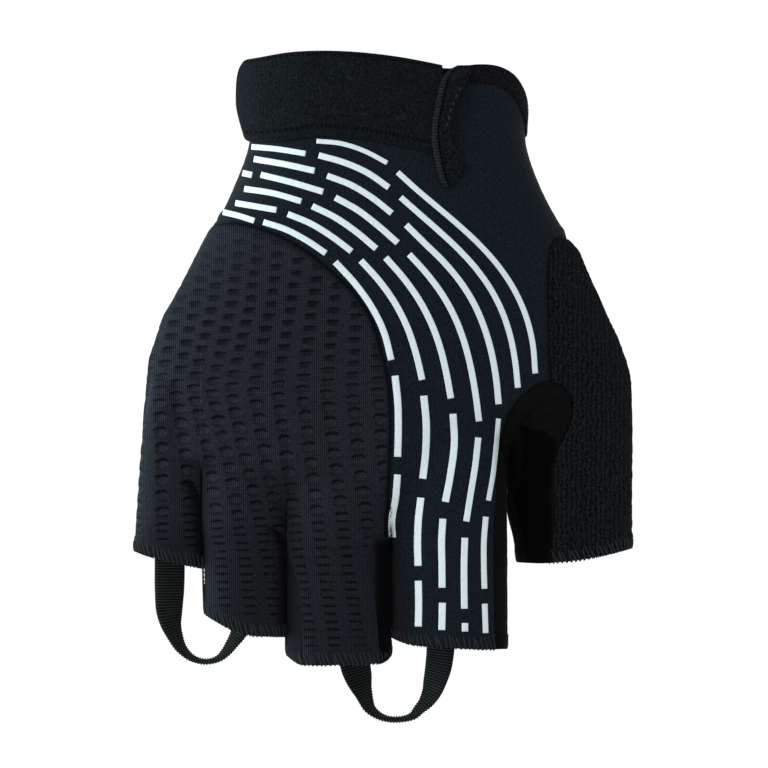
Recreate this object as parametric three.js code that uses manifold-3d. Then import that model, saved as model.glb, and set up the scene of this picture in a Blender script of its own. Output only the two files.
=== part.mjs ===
// A right-hand half-finger cycling glove, filled out as it is when worn, with its fingers pointing down.
// +X is the thumb side, +Y the palm side and +Z the wrist. The origin is the centre of the wrist mouth.
// Every cloth panel is cut from one hollow shell: a hand body, four finger tubes and a thumb tube.

import * as THREE from 'three';
import Module from 'manifold-3d';

const wasm = await Module();
wasm.setup();

// Overall sizes of the filled-out glove, in millimetres
const gloveLength = 150;
const littleReach = 63;
const thumbReach = 61;
const handDepth = 20;
const knuckleArch = 4.5;
const thumbCurl = 7.5;
const crotchTilt = 27;

// Where the thumb side's curl starts, as a share of the index finger's reach
const curlPlace = 0.66;

// Finger tubes
const littleWidth = 16.6;
const ringWidth = 20.4;
const middleWidth = 25.2;
const indexWidth = 28.7;
const fingerGap = 0.6;

// Cloth and trim
const clothWall = 1.5;
const seamGap = 0.3;
const sideSeam = 1.5;
const thumbSeamRise = 10.5;
const mouthDip = 5;
const bindingWidth = 4.75;
const bindingProud = 0.6;
const slitWidth = 1.2;
const slitLength = 22;
const slitPlace = 10.4;
const limbThickness = 2.4;
const strapThickness = 2.2;
const strapWidth = 21.5;
const strapTail = 17;
const strapTaper = 0.35;
const webbingWidth = 7.6;
const webbingThickness = 1.1;

// How square the tubes' sections are, where 2 is an ellipse
const bodySquareness = 2.6;
const fingerSquareness = 2.4;
const thumbSquareness = 2.3;

// Facets round each tube
const bodyFacets = 36;
const fingerFacets = 16;
const thumbFacets = 16;

// How far a cutter runs past what it cuts
const beyond = 1.5 * gloveLength;

const palmWidth = littleWidth + ringWidth + middleWidth + indexWidth + 3 * fingerGap;
const indexReach = palmWidth - littleReach;
const palmMiddle = indexReach - palmWidth / 2;

// The hand body from wrist to web. drop is a share of gloveLength, little of littleReach, thumb of thumbReach,
// dorsal and palmar of handDepth, arch of knuckleArch, curl of thumbCurl and tilt of crotchTilt.
const bodyRows = [
  { drop: -0.060, little: 0.548, thumb: 0.570, dorsal: 1.05, palmar: 1.05, arch: 0.0, curl: 0.0, tilt: 0.0 },
  { drop: 0.060, little: 0.546, thumb: 0.569, dorsal: 1.05, palmar: 1.04, arch: 0.0, curl: 0.0, tilt: 0.0 },
  { drop: 0.137, little: 0.550, thumb: 0.562, dorsal: 1.03, palmar: 1.00, arch: 0.1, curl: 0.0, tilt: 0.0 },
  { drop: 0.200, little: 0.603, thumb: 0.612, dorsal: 1.02, palmar: 0.98, arch: 0.2, curl: 0.0, tilt: 0.0 },
  { drop: 0.260, little: 0.671, thumb: 0.687, dorsal: 1.01, palmar: 0.98, arch: 0.3, curl: 0.1, tilt: 0.0 },
  { drop: 0.333, little: 0.790, thumb: 0.800, dorsal: 1.00, palmar: 0.98, arch: 0.5, curl: 0.4, tilt: 0.0 },
  { drop: 0.420, little: 0.905, thumb: 0.893, dorsal: 0.98, palmar: 0.96, arch: 0.7, curl: 0.7, tilt: 0.0 },
  { drop: 0.490, little: 0.948, thumb: 0.960, dorsal: 0.96, palmar: 0.92, arch: 0.9, curl: 0.9, tilt: 0.0 },
  { drop: 0.540, little: 0.961, thumb: 0.915, dorsal: 0.94, palmar: 0.88, arch: 1.0, curl: 1.0, tilt: 0.0 },
  { drop: 0.575, little: 0.967, thumb: 0.770, dorsal: 0.93, palmar: 0.83, arch: 1.0, curl: 1.0, tilt: 0.0 },
  { drop: 0.603, little: 0.971, thumb: 0.610, dorsal: 0.92, palmar: 0.78, arch: 1.0, curl: 1.0, tilt: 0.0 },
  { drop: 0.640, little: 0.976, thumb: 0.500, dorsal: 0.90, palmar: 0.70, arch: 1.0, curl: 0.0, tilt: 0.0 },
  { drop: 0.675, little: 0.976, thumb: 0.490, dorsal: 0.83, palmar: 0.58, arch: 1.0, curl: 0.0, tilt: 0.3 },
  { drop: 0.705, little: 0.970, thumb: 0.480, dorsal: 0.67, palmar: 0.45, arch: 1.0, curl: 0.0, tilt: 0.65 },
  { drop: 0.735, little: 0.965, thumb: 0.470, dorsal: 0.42, palmar: 0.30, arch: 1.0, curl: 0.0, tilt: 0.9 },
  { drop: 0.757, little: 0.960, thumb: 0.460, dorsal: 0.20, palmar: 0.16, arch: 1.0, curl: 0.0, tilt: 1.0 },
];

// Each finger's depth as shares of handDepth, its hem's drop on the little and thumb sides as shares of
// gloveLength, and how far its root stands towards the thumb, as a share of its own width
const fingers = [
  { name: 'little', width: littleWidth, dorsal: 0.575, palmar: 0.33, hemLittle: 0.813, hemThumb: 0.840, lean: 0.14 },
  { name: 'ring', width: ringWidth, dorsal: 0.725, palmar: 0.35, hemLittle: 0.913, hemThumb: 0.957, lean: 0.0 },
  { name: 'middle', width: middleWidth, dorsal: 0.800, palmar: 0.375, hemLittle: 0.997, hemThumb: 1.0, lean: 0.0 },
  { name: 'index', width: indexWidth, dorsal: 0.775, palmar: 0.375, hemLittle: 0.960, hemThumb: 0.975, lean: 0.0 },
];

// A finger from its root inside the body to its hem: shares of its own width and depths
const fingerRootDrop = 0.53;
const fingerRows = [
  { along: 0.0, width: 0.78, dorsal: 0.80, palmar: 0.80 },
  { along: 0.35, width: 0.965, dorsal: 1.00, palmar: 1.00 },
  { along: 0.55, width: 0.99, dorsal: 0.99, palmar: 1.02 },
  { along: 0.78, width: 1.00, dorsal: 0.94, palmar: 1.06 },
  { along: 1.0, width: 1.00, dorsal: 0.88, palmar: 1.10 },
];

// The thumb: drop is a share of gloveLength, near and far of thumbReach, dorsal and palmar of handDepth
const thumbHemLittle = 0.829;
const thumbHemThumb = 0.803;
const thumbRows = [
  { drop: 0.400, near: 0.30, far: 0.82, dorsal: 0.35, palmar: 0.85 },
  { drop: 0.470, near: 0.38, far: 0.945, dorsal: 0.50, palmar: 1.10 },
  { drop: 0.520, near: 0.43, far: 0.985, dorsal: 0.56, palmar: 1.12 },
  { drop: 0.570, near: 0.46, far: 0.995, dorsal: 0.50, palmar: 1.10 },
  { drop: 0.640, near: 0.475, far: 1.0, dorsal: 0.38, palmar: 1.07 },
  { drop: 0.700, near: 0.49, far: 1.0, dorsal: 0.31, palmar: 1.08 },
  { drop: 0.745, near: 0.515, far: 1.0, dorsal: 0.28, palmar: 1.05 },
  { drop: 0.816, near: 0.532, far: 1.0, dorsal: 0.25, palmar: 1.00 },
];

// Seam lines seen from the back of the hand. drop is a share of gloveLength. In the first, across is a share of
// palmWidth from the wrist's middle towards the thumb. In the two after it, across is the share of the way from
// the index finger's outer side to the thumb's.
const stripeSeam = [
  { across: -0.900, drop: 0.268 },
  { across: -0.463, drop: 0.265 },
  { across: -0.355, drop: 0.272 },
  { across: -0.242, drop: 0.303 },
  { across: -0.140, drop: 0.353 },
  { across: -0.066, drop: 0.405 },
  { across: -0.027, drop: 0.458 },
  { across: -0.004, drop: 0.510 },
  { across: 0.005, drop: 0.578 },
  { across: 0.006, drop: 0.670 },
  { across: -0.003, drop: 0.763 },
  { across: 0.0075, drop: 0.810 },
  { across: 0.0075, drop: 1.100 },
];
const thumbSeam = [
  { across: 1.717, drop: 0.290 },
  { across: 0.532, drop: 0.292 },
  { across: 0.402, drop: 0.296 },
  { across: 0.357, drop: 0.313 },
  { across: 0.342, drop: 0.375 },
  { across: 0.345, drop: 0.435 },
  { across: 0.354, drop: 0.530 },
  { across: 0.354, drop: 0.600 },
];
const gussetArch = [
  { across: -0.081, drop: 1.100 },
  { across: -0.081, drop: 0.970 },
  { across: -0.090, drop: 0.783 },
  { across: -0.066, drop: 0.705 },
  { across: -0.043, drop: 0.637 },
  { across: 0.008, drop: 0.595 },
  { across: 0.111, drop: 0.558 },
  { across: 0.236, drop: 0.537 },
  { across: 0.348, drop: 0.530 },
  { across: 0.434, drop: 0.535 },
  { across: 0.508, drop: 0.553 },
  { across: 0.517, drop: 0.595 },
  { across: 0.461, drop: 0.622 },
  { across: 0.396, drop: 0.648 },
  { across: 0.372, drop: 0.705 },
  { across: 0.384, drop: 0.757 },
  { across: 0.339, drop: 0.829 },
  { across: 0.339, drop: 1.100 },
];

// The depth of the seams between the fingers, as shares of handDepth in front of the wrist's middle,
// and how far down the web they start, as a share of gloveLength
const webDrop = 0.645;
const fourchettes = [
  { name: 'fourchette_little_ring', seam: 0.375 },
  { name: 'fourchette_ring_middle', seam: 0.575 },
  { name: 'fourchette_middle_index', seam: 0.575 },
];

// The mouth's edge seen from the side: depth is a share of handDepth, dip of mouthDip
const mouthLine = [
  { depth: -2.0, dip: 0.0 },
  { depth: -0.55, dip: 0.0 },
  { depth: -0.2, dip: 0.22 },
  { depth: 0.2, dip: 0.72 },
  { depth: 0.6, dip: 1.0 },
  { depth: 2.0, dip: 1.0 },
];

// The strap's top edge: across is a share of littleReach, rise a share of strapWidth above the mouth's edge
const strapTop = [
  { across: -0.95, rise: 0.03 },
  { across: -0.55, rise: 0.05 },
  { across: -0.38, rise: 0.12 },
  { across: -0.16, rise: 0.14 },
  { across: 0.0, rise: 0.11 },
  { across: 0.12, rise: 0.04 },
  { across: 0.30, rise: -0.08 },
];
const strapBottom = [
  { across: 0.30, rise: -1.07 },
  { across: 0.15, rise: -1.05 },
  { across: 0.02, rise: -0.94 },
  { across: -0.10, rise: -0.89 },
  { across: -0.28, rise: -0.87 },
  { across: -0.45, rise: -0.92 },
  { across: -0.55, rise: -0.87 },
  { across: -0.95, rise: -0.86 },
];

// The binding's limb along the slit and its folded end: across is a share of littleReach and
// drop a share of gloveLength
const limbOutline = [
  { across: 0.268, drop: 0.004 },
  { across: 0.215, drop: 0.024 },
  { across: 0.183, drop: 0.070 },
  { across: 0.175, drop: 0.110 },
  { across: 0.190, drop: 0.152 },
  { across: 0.206, drop: 0.189 },
  { across: 0.232, drop: 0.202 },
  { across: 0.273, drop: 0.186 },
  { across: 0.294, drop: 0.162 },
  { across: 0.273, drop: 0.138 },
  { across: 0.242, drop: 0.118 },
  { across: 0.236, drop: 0.094 },
  { across: 0.250, drop: 0.062 },
  { across: 0.285, drop: 0.036 },
];

// The pull loops between two hems: reach is the share of the way across from start to end, fall the share of
// the loop's fall, and turn the share of a half turn that the webbing has made
const loopRows = [
  { reach: 0.0, fall: 0.0, turn: 0.0 },
  { reach: 0.02, fall: 0.18, turn: 0.03 },
  { reach: 0.06, fall: 0.38, turn: 0.08 },
  { reach: 0.12, fall: 0.58, turn: 0.16 },
  { reach: 0.22, fall: 0.78, turn: 0.29 },
  { reach: 0.35, fall: 0.94, turn: 0.42 },
  { reach: 0.50, fall: 1.0, turn: 0.50 },
  { reach: 0.65, fall: 0.94, turn: 0.58 },
  { reach: 0.78, fall: 0.78, turn: 0.71 },
  { reach: 0.88, fall: 0.58, turn: 0.84 },
  { reach: 0.94, fall: 0.38, turn: 0.92 },
  { reach: 0.98, fall: 0.18, turn: 0.97 },
  { reach: 1.0, fall: 0.0, turn: 1.0 },
];
const pullLoops = [
  { name: 'pull_loop_little_ring', from: 'little', fromShare: 0.50, to: 'ring', toShare: 0.42, bottom: 0.997 },
  { name: 'pull_loop_middle_index', from: 'middle', fromShare: 0.66, to: 'index', toShare: 0.42, bottom: 1.094 },
];

const lerp = THREE.MathUtils.lerp;

// One closed ring of a tube, as a superellipse between four sides, bent by the knuckles' arch and the thumb's curl
function ring(row, facets) {
  const middleX = (row.left + row.right) / 2;
  const middleY = (row.front + row.back) / 2;
  const halfX = (row.right - row.left) / 2;
  const halfY = (row.back - row.front) / 2;
  const points = [];
  for (let i = 0; i < facets; i += 1) {
    const angle = (2 * Math.PI * i) / facets;
    const c = Math.cos(angle);
    const s = Math.sin(angle);
    const x = middleX + halfX * Math.sign(c) * Math.abs(c) ** (2 / row.square);
    const y = middleY + halfY * Math.sign(s) * Math.abs(s) ** (2 / row.square);
    points.push(new THREE.Vector3(x, y + bend(row, x), row.z + (row.tilt ?? 0) * (x - middleX)));
  }
  return points;
}

function bend(row, x) {
  const fromMiddle = Math.min(1, Math.abs(x - palmMiddle) / (palmWidth / 2));
  const curlStart = curlPlace * indexReach;
  const towardsThumb = Math.max(0, (x - curlStart) / (thumbReach - curlStart));
  return (row.arch ?? 0) * fromMiddle ** 2 + (row.curl ?? 0) * towardsThumb ** 2;
}

// A closed tube through rings of one facet count, a multiple of four, listed from top to bottom,
// with fans over its ends
function loft(rings) {
  const facets = rings[0].length;
  const centres = [rings[0], rings[rings.length - 1]].map((points) =>
    points[facets / 4].clone().add(points[(3 * facets) / 4]).divideScalar(2));
  const vertices = [...rings.flat(), ...centres];
  const faces = [];
  for (let r = 0; r + 1 < rings.length; r += 1) {
    for (let i = 0; i < facets; i += 1) {
      const a = r * facets + i;
      const b = r * facets + ((i + 1) % facets);
      faces.push([a, a + facets, b + facets], [a, b + facets, b]);
    }
  }
  const top = rings.length * facets;
  const last = (rings.length - 1) * facets;
  for (let i = 0; i < facets; i += 1) {
    const next = (i + 1) % facets;
    faces.push([top, i, next], [top + 1, last + next, last + i]);
  }
  return solid(vertices, faces);
}

function solid(vertices, faces) {
  const positions = new Float32Array(vertices.flatMap((v) => [v.x, v.y, v.z]));
  return new wasm.Manifold(new wasm.Mesh({
    numProp: 3,
    vertProperties: positions,
    triVerts: new Uint32Array(faces.flat()),
  }));
}

// The hand body, grown outwards by grow, or shrunk where grow is negative
function bodyTube(grow) {
  const lastRow = bodyRows.length - 1;
  return loft(bodyRows.map((row, i) => ring({
    z: -row.drop * gloveLength - (i === lastRow ? grow : 0),
    left: -row.little * littleReach - grow,
    right: row.thumb * thumbReach + grow,
    front: -row.dorsal * handDepth - grow,
    back: row.palmar * handDepth + grow,
    arch: row.arch * knuckleArch,
    curl: row.curl * thumbCurl,
    tilt: (-row.tilt * crotchTilt) / palmWidth,
    square: bodySquareness,
  }, bodyFacets)));
}

// Where each finger's tube lies between the little finger's outer side and the thumb
function fingerPlaces() {
  let left = -littleReach;
  return fingers.map((finger) => {
    const place = { ...finger, left, right: left + finger.width, middle: left + finger.width / 2 };
    place.slope = (-(finger.hemThumb - finger.hemLittle) * gloveLength) / finger.width;
    place.hem = (-(finger.hemThumb + finger.hemLittle) / 2) * gloveLength;
    place.back = finger.palmar * handDepth * fingerRows[fingerRows.length - 1].palmar;
    left = place.right + fingerGap;
    return place;
  });
}

// A finger's tube. Its inside, with a negative grow, runs out past the hem.
function fingerTube(place, grow) {
  const root = -fingerRootDrop * gloveLength;
  const rings = fingerRows.map((row) => {
    const middle = place.middle + (1 - row.along) * place.lean * place.width;
    const reach = (row.width * place.width) / 2 + grow;
    return {
      z: lerp(root, place.hem, row.along),
      left: middle - reach,
      right: middle + reach,
      front: -row.dorsal * place.dorsal * handDepth - grow,
      back: row.palmar * place.palmar * handDepth + grow,
      tilt: place.slope * row.along,
      square: fingerSquareness,
    };
  });
  if (grow < 0) {
    rings.push({ ...rings[rings.length - 1], z: place.hem - clothWall });
  }
  return loft(rings.map((row) => ring(row, fingerFacets)));
}

function thumbTube(grow) {
  const hemSlope = ((thumbHemLittle - thumbHemThumb) * gloveLength) / (thumbReach / 2);
  const lastRow = thumbRows.length - 1;
  const rings = thumbRows.map((row, i) => ({
    z: -row.drop * gloveLength,
    left: row.near * thumbReach - grow,
    right: row.far * thumbReach + grow,
    front: -row.dorsal * handDepth - grow,
    back: row.palmar * handDepth + grow,
    tilt: hemSlope * (i / lastRow) ** 3,
    square: thumbSquareness,
  }));
  if (grow < 0) {
    rings.push({ ...rings[lastRow], z: rings[lastRow].z - clothWall });
  }
  return loft(rings.map((row) => ring(row, thumbFacets)));
}

// A closed outline drawn in the plane of two axes, carried along the third from start to end
function prism(points, axis, start, end) {
  const shape = new THREE.Shape(points.map(([a, b]) => new THREE.Vector2(a, b)));
  const geometry = new THREE.ExtrudeGeometry(shape, { depth: end - start, bevelEnabled: false });
  const x = new THREE.Vector3(1, 0, 0);
  const y = new THREE.Vector3(0, 1, 0);
  const z = new THREE.Vector3(0, 0, 1);
  const turn = new THREE.Matrix4();
  if (axis === 'x') {
    turn.makeBasis(y, z, x).setPosition(start, 0, 0);
  } else if (axis === 'y') {
    turn.makeBasis(x, z, y.clone().negate()).setPosition(0, end, 0);
  } else {
    turn.setPosition(0, 0, start);
  }
  geometry.applyMatrix4(turn);
  const position = geometry.getAttribute('position');
  const vertices = [];
  const places = new Map();
  const order = [];
  for (let i = 0; i < position.count; i += 1) {
    const p = new THREE.Vector3().fromBufferAttribute(position, i);
    const key = p.toArray().map((value) => value.toFixed(4)).join();
    if (!places.has(key)) {
      places.set(key, vertices.length);
      vertices.push(p);
    }
    order.push(places.get(key));
  }
  const faces = [];
  for (let i = 0; i < order.length; i += 3) {
    faces.push([order[i], order[i + 1], order[i + 2]]);
  }
  return solid(vertices, faces);
}

// A smooth line through the points, moved sideways by shift: to the left of its direction when positive
function smoothLine(points, steps, shift = 0) {
  const curve = new THREE.SplineCurve(points.map(([a, b]) => new THREE.Vector2(a, b)));
  const line = curve.getPoints(steps);
  return line.map((p, i) => {
    const before = line[Math.max(0, i - 1)];
    const after = line[Math.min(line.length - 1, i + 1)];
    const along = after.clone().sub(before).normalize();
    return [p.x - along.y * shift, p.y + along.x * shift];
  });
}

const seamPoints = (rows, from, to) =>
  rows.map((row) => [lerp(from, to, row.across), -row.drop * gloveLength]);

// The parts of the back of the hand, each spread by spread past its own seams
function meshRegion(spread) {
  const line = smoothLine(seamPoints(stripeSeam, 0, palmWidth), 20, spread);
  return prism([...line, [-beyond, line[line.length - 1][1]], [-beyond, line[0][1]]], 'y', -beyond, beyond);
}

function thumbRegion(spread) {
  const line = smoothLine(seamPoints(thumbSeam, indexReach, thumbReach), 12, -spread);
  const last = line[line.length - 1];
  return prism([...line, [last[0], -beyond], [beyond, -beyond], [beyond, line[0][1]]], 'y', -beyond, beyond);
}

function gussetRegion(spread) {
  return prism(smoothLine(seamPoints(gussetArch, indexReach, thumbReach), 26, spread), 'y', -beyond, beyond);
}

// All that lies on the palm side of the side seams, moved towards the palm by shift
function palmRegion(shift) {
  const line = [
    [-beyond, sideSeam],
    [indexReach, sideSeam],
    [0.72 * thumbReach, sideSeam + 0.7 * thumbSeamRise],
    [beyond, sideSeam + thumbSeamRise],
  ].map(([x, y]) => [x, y + shift]);
  return prism([...line, [beyond, beyond], [-beyond, beyond]], 'z', -beyond, beyond);
}

function fourchetteRegion(index, spread) {
  const places = fingerPlaces();
  const front = -fourchettes[index].seam * handDepth - spread;
  const left = places[index].middle;
  const right = places[index + 1].middle;
  const outline = [[left, front], [right, front], [right, beyond], [left, beyond]];
  return prism(outline, 'z', -beyond, -webDrop * gloveLength);
}

// All above the mouth's edge lowered by drop
function aboveMouth(drop) {
  const points = mouthLine.map((row) => [row.depth * handDepth, -row.dip * mouthDip - drop]);
  return prism([...smoothLine(points, 16), [beyond, beyond], [-beyond, beyond]], 'x', -beyond, beyond);
}

function slit() {
  const left = slitPlace - slitWidth;
  const outline = [[left, beyond], [left, -slitLength], [slitPlace, -slitLength], [slitPlace, beyond]];
  return prism(outline, 'y', -beyond, 0);
}

function unite(solids) {
  return solids.reduce((sum, next) => sum.add(next));
}

function handForm(grow) {
  return unite([bodyTube(grow), ...fingerPlaces().map((place) => fingerTube(place, grow)), thumbTube(grow)]);
}

// The cloth panels

const shell = handForm(0).subtract(handForm(-clothWall));
const bindingZone = aboveMouth(bindingWidth + seamGap);
const clothShell = shell.subtract(bindingZone);
const backShell = clothShell.subtract(palmRegion(-seamGap));
const fourchetteZones = fourchettes.map((_, i) => fourchetteRegion(i, seamGap));
const backCloth = backShell.subtract(unite(fourchetteZones));

const palmPanel = clothShell.intersect(palmRegion(0));
const meshPanel = backCloth.intersect(meshRegion(0));
const gusset = backCloth.intersect(gussetRegion(0));
const thumbPanel = backCloth.intersect(thumbRegion(0)).subtract(gussetRegion(seamGap));
const stripePanel = backCloth
  .subtract(meshRegion(seamGap))
  .subtract(thumbRegion(seamGap))
  .subtract(gussetRegion(seamGap))
  .subtract(slit());

function fourchettePanel(index) {
  return backShell.intersect(fourchetteRegion(index, 0));
}

// The binding round the mouth, with the limb along the slit that ends in a folded tab

function bindingPiece() {
  const band = bodyTube(bindingProud)
    .subtract(bodyTube(-clothWall))
    .intersect(aboveMouth(bindingWidth))
    .subtract(aboveMouth(0));
  const limb = bodyTube(seamGap + limbThickness)
    .subtract(bodyTube(seamGap))
    .intersect(prism(limbLine(), 'y', -beyond, 0));
  return band.subtract(slit()).add(limb);
}

function limbLine(spread = 0) {
  const points = limbOutline.map((row) => [row.across * littleReach, -row.drop * gloveLength]);
  return smoothLine([...points, points[0]], 28, spread).slice(0, -1);
}

// The strap lies over the binding, from the limb round the little finger's side to the palm

function strapPiece() {
  const inner = bindingProud + seamGap;
  const band = bodyTube(inner + strapThickness).subtract(bodyTube(inner));
  const place = (row) => [row.across * littleReach, row.rise * strapWidth];
  const edges = [...smoothLine(strapTop.map(place), 20), ...smoothLine(strapBottom.map(place), 20)];
  const front = band.intersect(prism(edges, 'y', -beyond, 0));
  const end = strapTaper * strapWidth;
  const palmEdge = [
    [-0.95 * littleReach, 0.03 * strapWidth],
    [-0.55 * littleReach, 0.0],
    [-strapTail - end, -0.16 * strapWidth],
    [-strapTail, -0.42 * strapWidth],
    [-strapTail, -0.80 * strapWidth],
    [-strapTail - end, -1.06 * strapWidth],
    [-0.55 * littleReach, -0.92 * strapWidth],
    [-0.95 * littleReach, -0.86 * strapWidth],
  ];
  const back = band.intersect(prism(palmEdge, 'y', 0, beyond));
  return front.add(back).subtract(prism(limbLine(-seamGap), 'y', -beyond, 0)).subtract(rightOfLimb());
}

function rightOfLimb() {
  const left = 0.22 * littleReach;
  const outline = [[left, beyond], [left, -beyond], [beyond, -beyond], [beyond, beyond]];
  return prism(outline, 'y', -beyond, beyond);
}

// A pull loop: webbing that leaves one hem flat, turns edge-on at its lowest point and ends flat under the next

function loopPiece(loop) {
  const places = fingerPlaces();
  const rim = (name, share) => {
    const place = places.find((finger) => finger.name === name);
    const x = lerp(place.left, place.right, share);
    const z = place.hem + place.slope * (x - place.middle) - seamGap;
    return { point: new THREE.Vector3(x, place.back - clothWall / 2, z), slope: place.slope };
  };
  const start = rim(loop.from, loop.fromShare);
  const end = rim(loop.to, loop.toShare);
  const bottom = -loop.bottom * gloveLength;
  const centres = loopRows.map((row) => {
    const centre = start.point.clone().lerp(end.point, row.reach);
    return centre.setZ(lerp(centre.z, bottom, row.fall));
  });
  const toPalm = new THREE.Vector3(0, 1, 0);
  const rings = centres.map((centre, i) => {
    const along = centres[Math.min(i + 1, centres.length - 1)].clone().sub(centres[Math.max(i - 1, 0)]);
    if (i === 0) {
      along.set(start.slope, 0, -1);
    } else if (i === centres.length - 1) {
      along.set(-end.slope, 0, 1);
    }
    along.normalize();
    const sideways = new THREE.Vector3().crossVectors(toPalm, along).normalize();
    const turn = loopRows[i].turn * Math.PI;
    const across = sideways.clone().multiplyScalar(-Math.cos(turn)).addScaledVector(toPalm, Math.sin(turn));
    const through = new THREE.Vector3().crossVectors(along, across).normalize();
    const corners = [[1, 1], [1, -1], [-1, -1], [-1, 1]];
    return corners.map(([a, b]) => centre.clone()
      .addScaledVector(across, (a * webbingWidth) / 2)
      .addScaledVector(through, (b * webbingThickness) / 2));
  });
  return loft(rings);
}

// Materials and the named pieces

const cloths = {
  mesh: new THREE.MeshStandardMaterial({ color: '#14161b', roughness: 0.85, metalness: 0 }),
  lycra: new THREE.MeshStandardMaterial({ color: '#10151b', roughness: 0.75, metalness: 0 }),
  terry: new THREE.MeshStandardMaterial({ color: '#121416', roughness: 0.95, metalness: 0 }),
  suede: new THREE.MeshStandardMaterial({ color: '#0c0c0d', roughness: 0.9, metalness: 0 }),
  strap: new THREE.MeshStandardMaterial({ color: '#0f1110', roughness: 0.92, metalness: 0 }),
  webbing: new THREE.MeshStandardMaterial({ color: '#141516', roughness: 0.7, metalness: 0 }),
};

const glove = new THREE.Group();

function addPiece(name, shape, material) {
  const mesh = shape.getMesh();
  const geometry = new THREE.BufferGeometry();
  geometry.setAttribute('position', new THREE.BufferAttribute(new Float32Array(mesh.vertProperties), 3));
  geometry.setIndex(new THREE.BufferAttribute(new Uint32Array(mesh.triVerts), 1));
  geometry.computeVertexNormals();
  const piece = new THREE.Mesh(geometry, material);
  piece.name = name;
  glove.add(piece);
}

addPiece('back_mesh_panel', meshPanel, cloths.mesh);
addPiece('back_stripe_panel', stripePanel, cloths.lycra);
addPiece('thumb_panel', thumbPanel, cloths.terry);
addPiece('thumb_gusset', gusset, cloths.suede);
addPiece('palm_panel', palmPanel, cloths.suede);
fourchettes.forEach(({ name }, i) => addPiece(name, fourchettePanel(i), cloths.lycra));
addPiece('cuff_binding', bindingPiece(), cloths.strap);
addPiece('wrist_strap', strapPiece(), cloths.strap);
pullLoops.forEach((loop) => addPiece(loop.name, loopPiece(loop), cloths.webbing));

export default glove;
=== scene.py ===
# The looks of a right-hand half-finger cycling glove, filled out as it is when worn.
# +X is the thumb side, +Y the palm side and +Z the wrist. Sizes are millimetres until the meshes are made.

import math

import bpy
import numpy as np
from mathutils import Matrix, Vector
from mathutils.bvhtree import BVHTree


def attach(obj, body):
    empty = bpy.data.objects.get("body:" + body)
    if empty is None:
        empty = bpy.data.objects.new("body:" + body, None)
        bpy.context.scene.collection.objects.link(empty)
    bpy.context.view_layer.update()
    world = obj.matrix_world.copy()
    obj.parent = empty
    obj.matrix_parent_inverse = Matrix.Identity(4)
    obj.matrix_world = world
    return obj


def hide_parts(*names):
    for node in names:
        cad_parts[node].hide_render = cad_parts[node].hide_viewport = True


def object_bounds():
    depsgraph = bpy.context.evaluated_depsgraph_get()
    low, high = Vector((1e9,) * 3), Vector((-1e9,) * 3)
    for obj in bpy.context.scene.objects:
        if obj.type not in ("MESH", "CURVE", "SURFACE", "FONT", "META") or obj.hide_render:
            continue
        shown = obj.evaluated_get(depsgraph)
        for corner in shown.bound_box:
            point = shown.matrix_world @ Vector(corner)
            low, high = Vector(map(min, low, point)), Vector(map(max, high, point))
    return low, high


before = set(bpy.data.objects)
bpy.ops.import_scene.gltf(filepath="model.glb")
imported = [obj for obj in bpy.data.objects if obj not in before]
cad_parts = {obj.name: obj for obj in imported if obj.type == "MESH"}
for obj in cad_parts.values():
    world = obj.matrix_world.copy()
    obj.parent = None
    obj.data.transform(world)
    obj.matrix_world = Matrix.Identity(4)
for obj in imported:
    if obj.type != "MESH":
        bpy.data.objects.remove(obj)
cad_low, cad_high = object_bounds()

MM = 0.001

# The glove's driving sizes, as in the frame
GLOVE_LENGTH = 150.0
LITTLE_REACH = -cad_low.x / MM
THUMB_REACH = cad_high.x / MM
HAND_DEPTH = 20.0
KNUCKLE_ARCH = 4.5
THUMB_CURL = 7.5
CURL_PLACE = 0.66
CROTCH_TILT = 27.0
FINGER_WIDTHS = (16.6, 20.4, 25.2, 28.7)
FINGER_GAP = 0.6
SIDE_SEAM = 1.5
THUMB_SEAM_RISE = 10.5
MOUTH_DIP = 5.0
BINDING_WIDTH = 4.75
STRAP_WIDTH = 21.5
CLOTH_WALL = 1.3
INDEX_REACH = sum(FINGER_WIDTHS) + 3 * FINGER_GAP - LITTLE_REACH
PALM_WIDTH = LITTLE_REACH + INDEX_REACH
PALM_MIDDLE = INDEX_REACH - PALM_WIDTH / 2

# The photograph's scale and the camera that it was measured for
PIXEL = 0.25
ORIGIN_PX = (388.0, 64.0)
CAMERA_DISTANCE = 900.0
CAMERA_X = -1.0
CAMERA_Z = -80.0
FRAME_WIDTH = 192.0

# Working sizes of the meshes
VOXEL = 0.8
FINGER_SPREAD = 2.6

random = np.random.default_rng(7)


def from_pixels(points):
    """Pixels of the photograph as places across and along the hand, on the plane of the wrist's middle."""
    points = np.asarray(points, float)
    return (points - ORIGIN_PX) * (PIXEL, -PIXEL)


def seen(points):
    """Where the camera sees points of the hand, on the plane through the wrist's middle."""
    scale = CAMERA_DISTANCE / (CAMERA_DISTANCE + points[:, 1])
    x = CAMERA_X + (points[:, 0] - CAMERA_X) * scale
    z = CAMERA_Z + (points[:, 2] - CAMERA_Z) * scale
    return np.stack([x, z], 1)


def pixels_of(points):
    """The photograph's columns and rows of pixels at which the camera sees points of the hand."""
    view = seen(points)
    return ORIGIN_PX[0] + view[:, 0] / PIXEL, ORIGIN_PX[1] - view[:, 1] / PIXEL


def unseen(flat, depth):
    """Places of the plane of the wrist's middle, moved to a depth at which the camera sees them there."""
    away = (depth + CAMERA_DISTANCE) / CAMERA_DISTANCE
    return CAMERA_X + (flat[0] - CAMERA_X) * away, CAMERA_Z + (flat[1] - CAMERA_Z) * away


# Curves and distances


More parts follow.
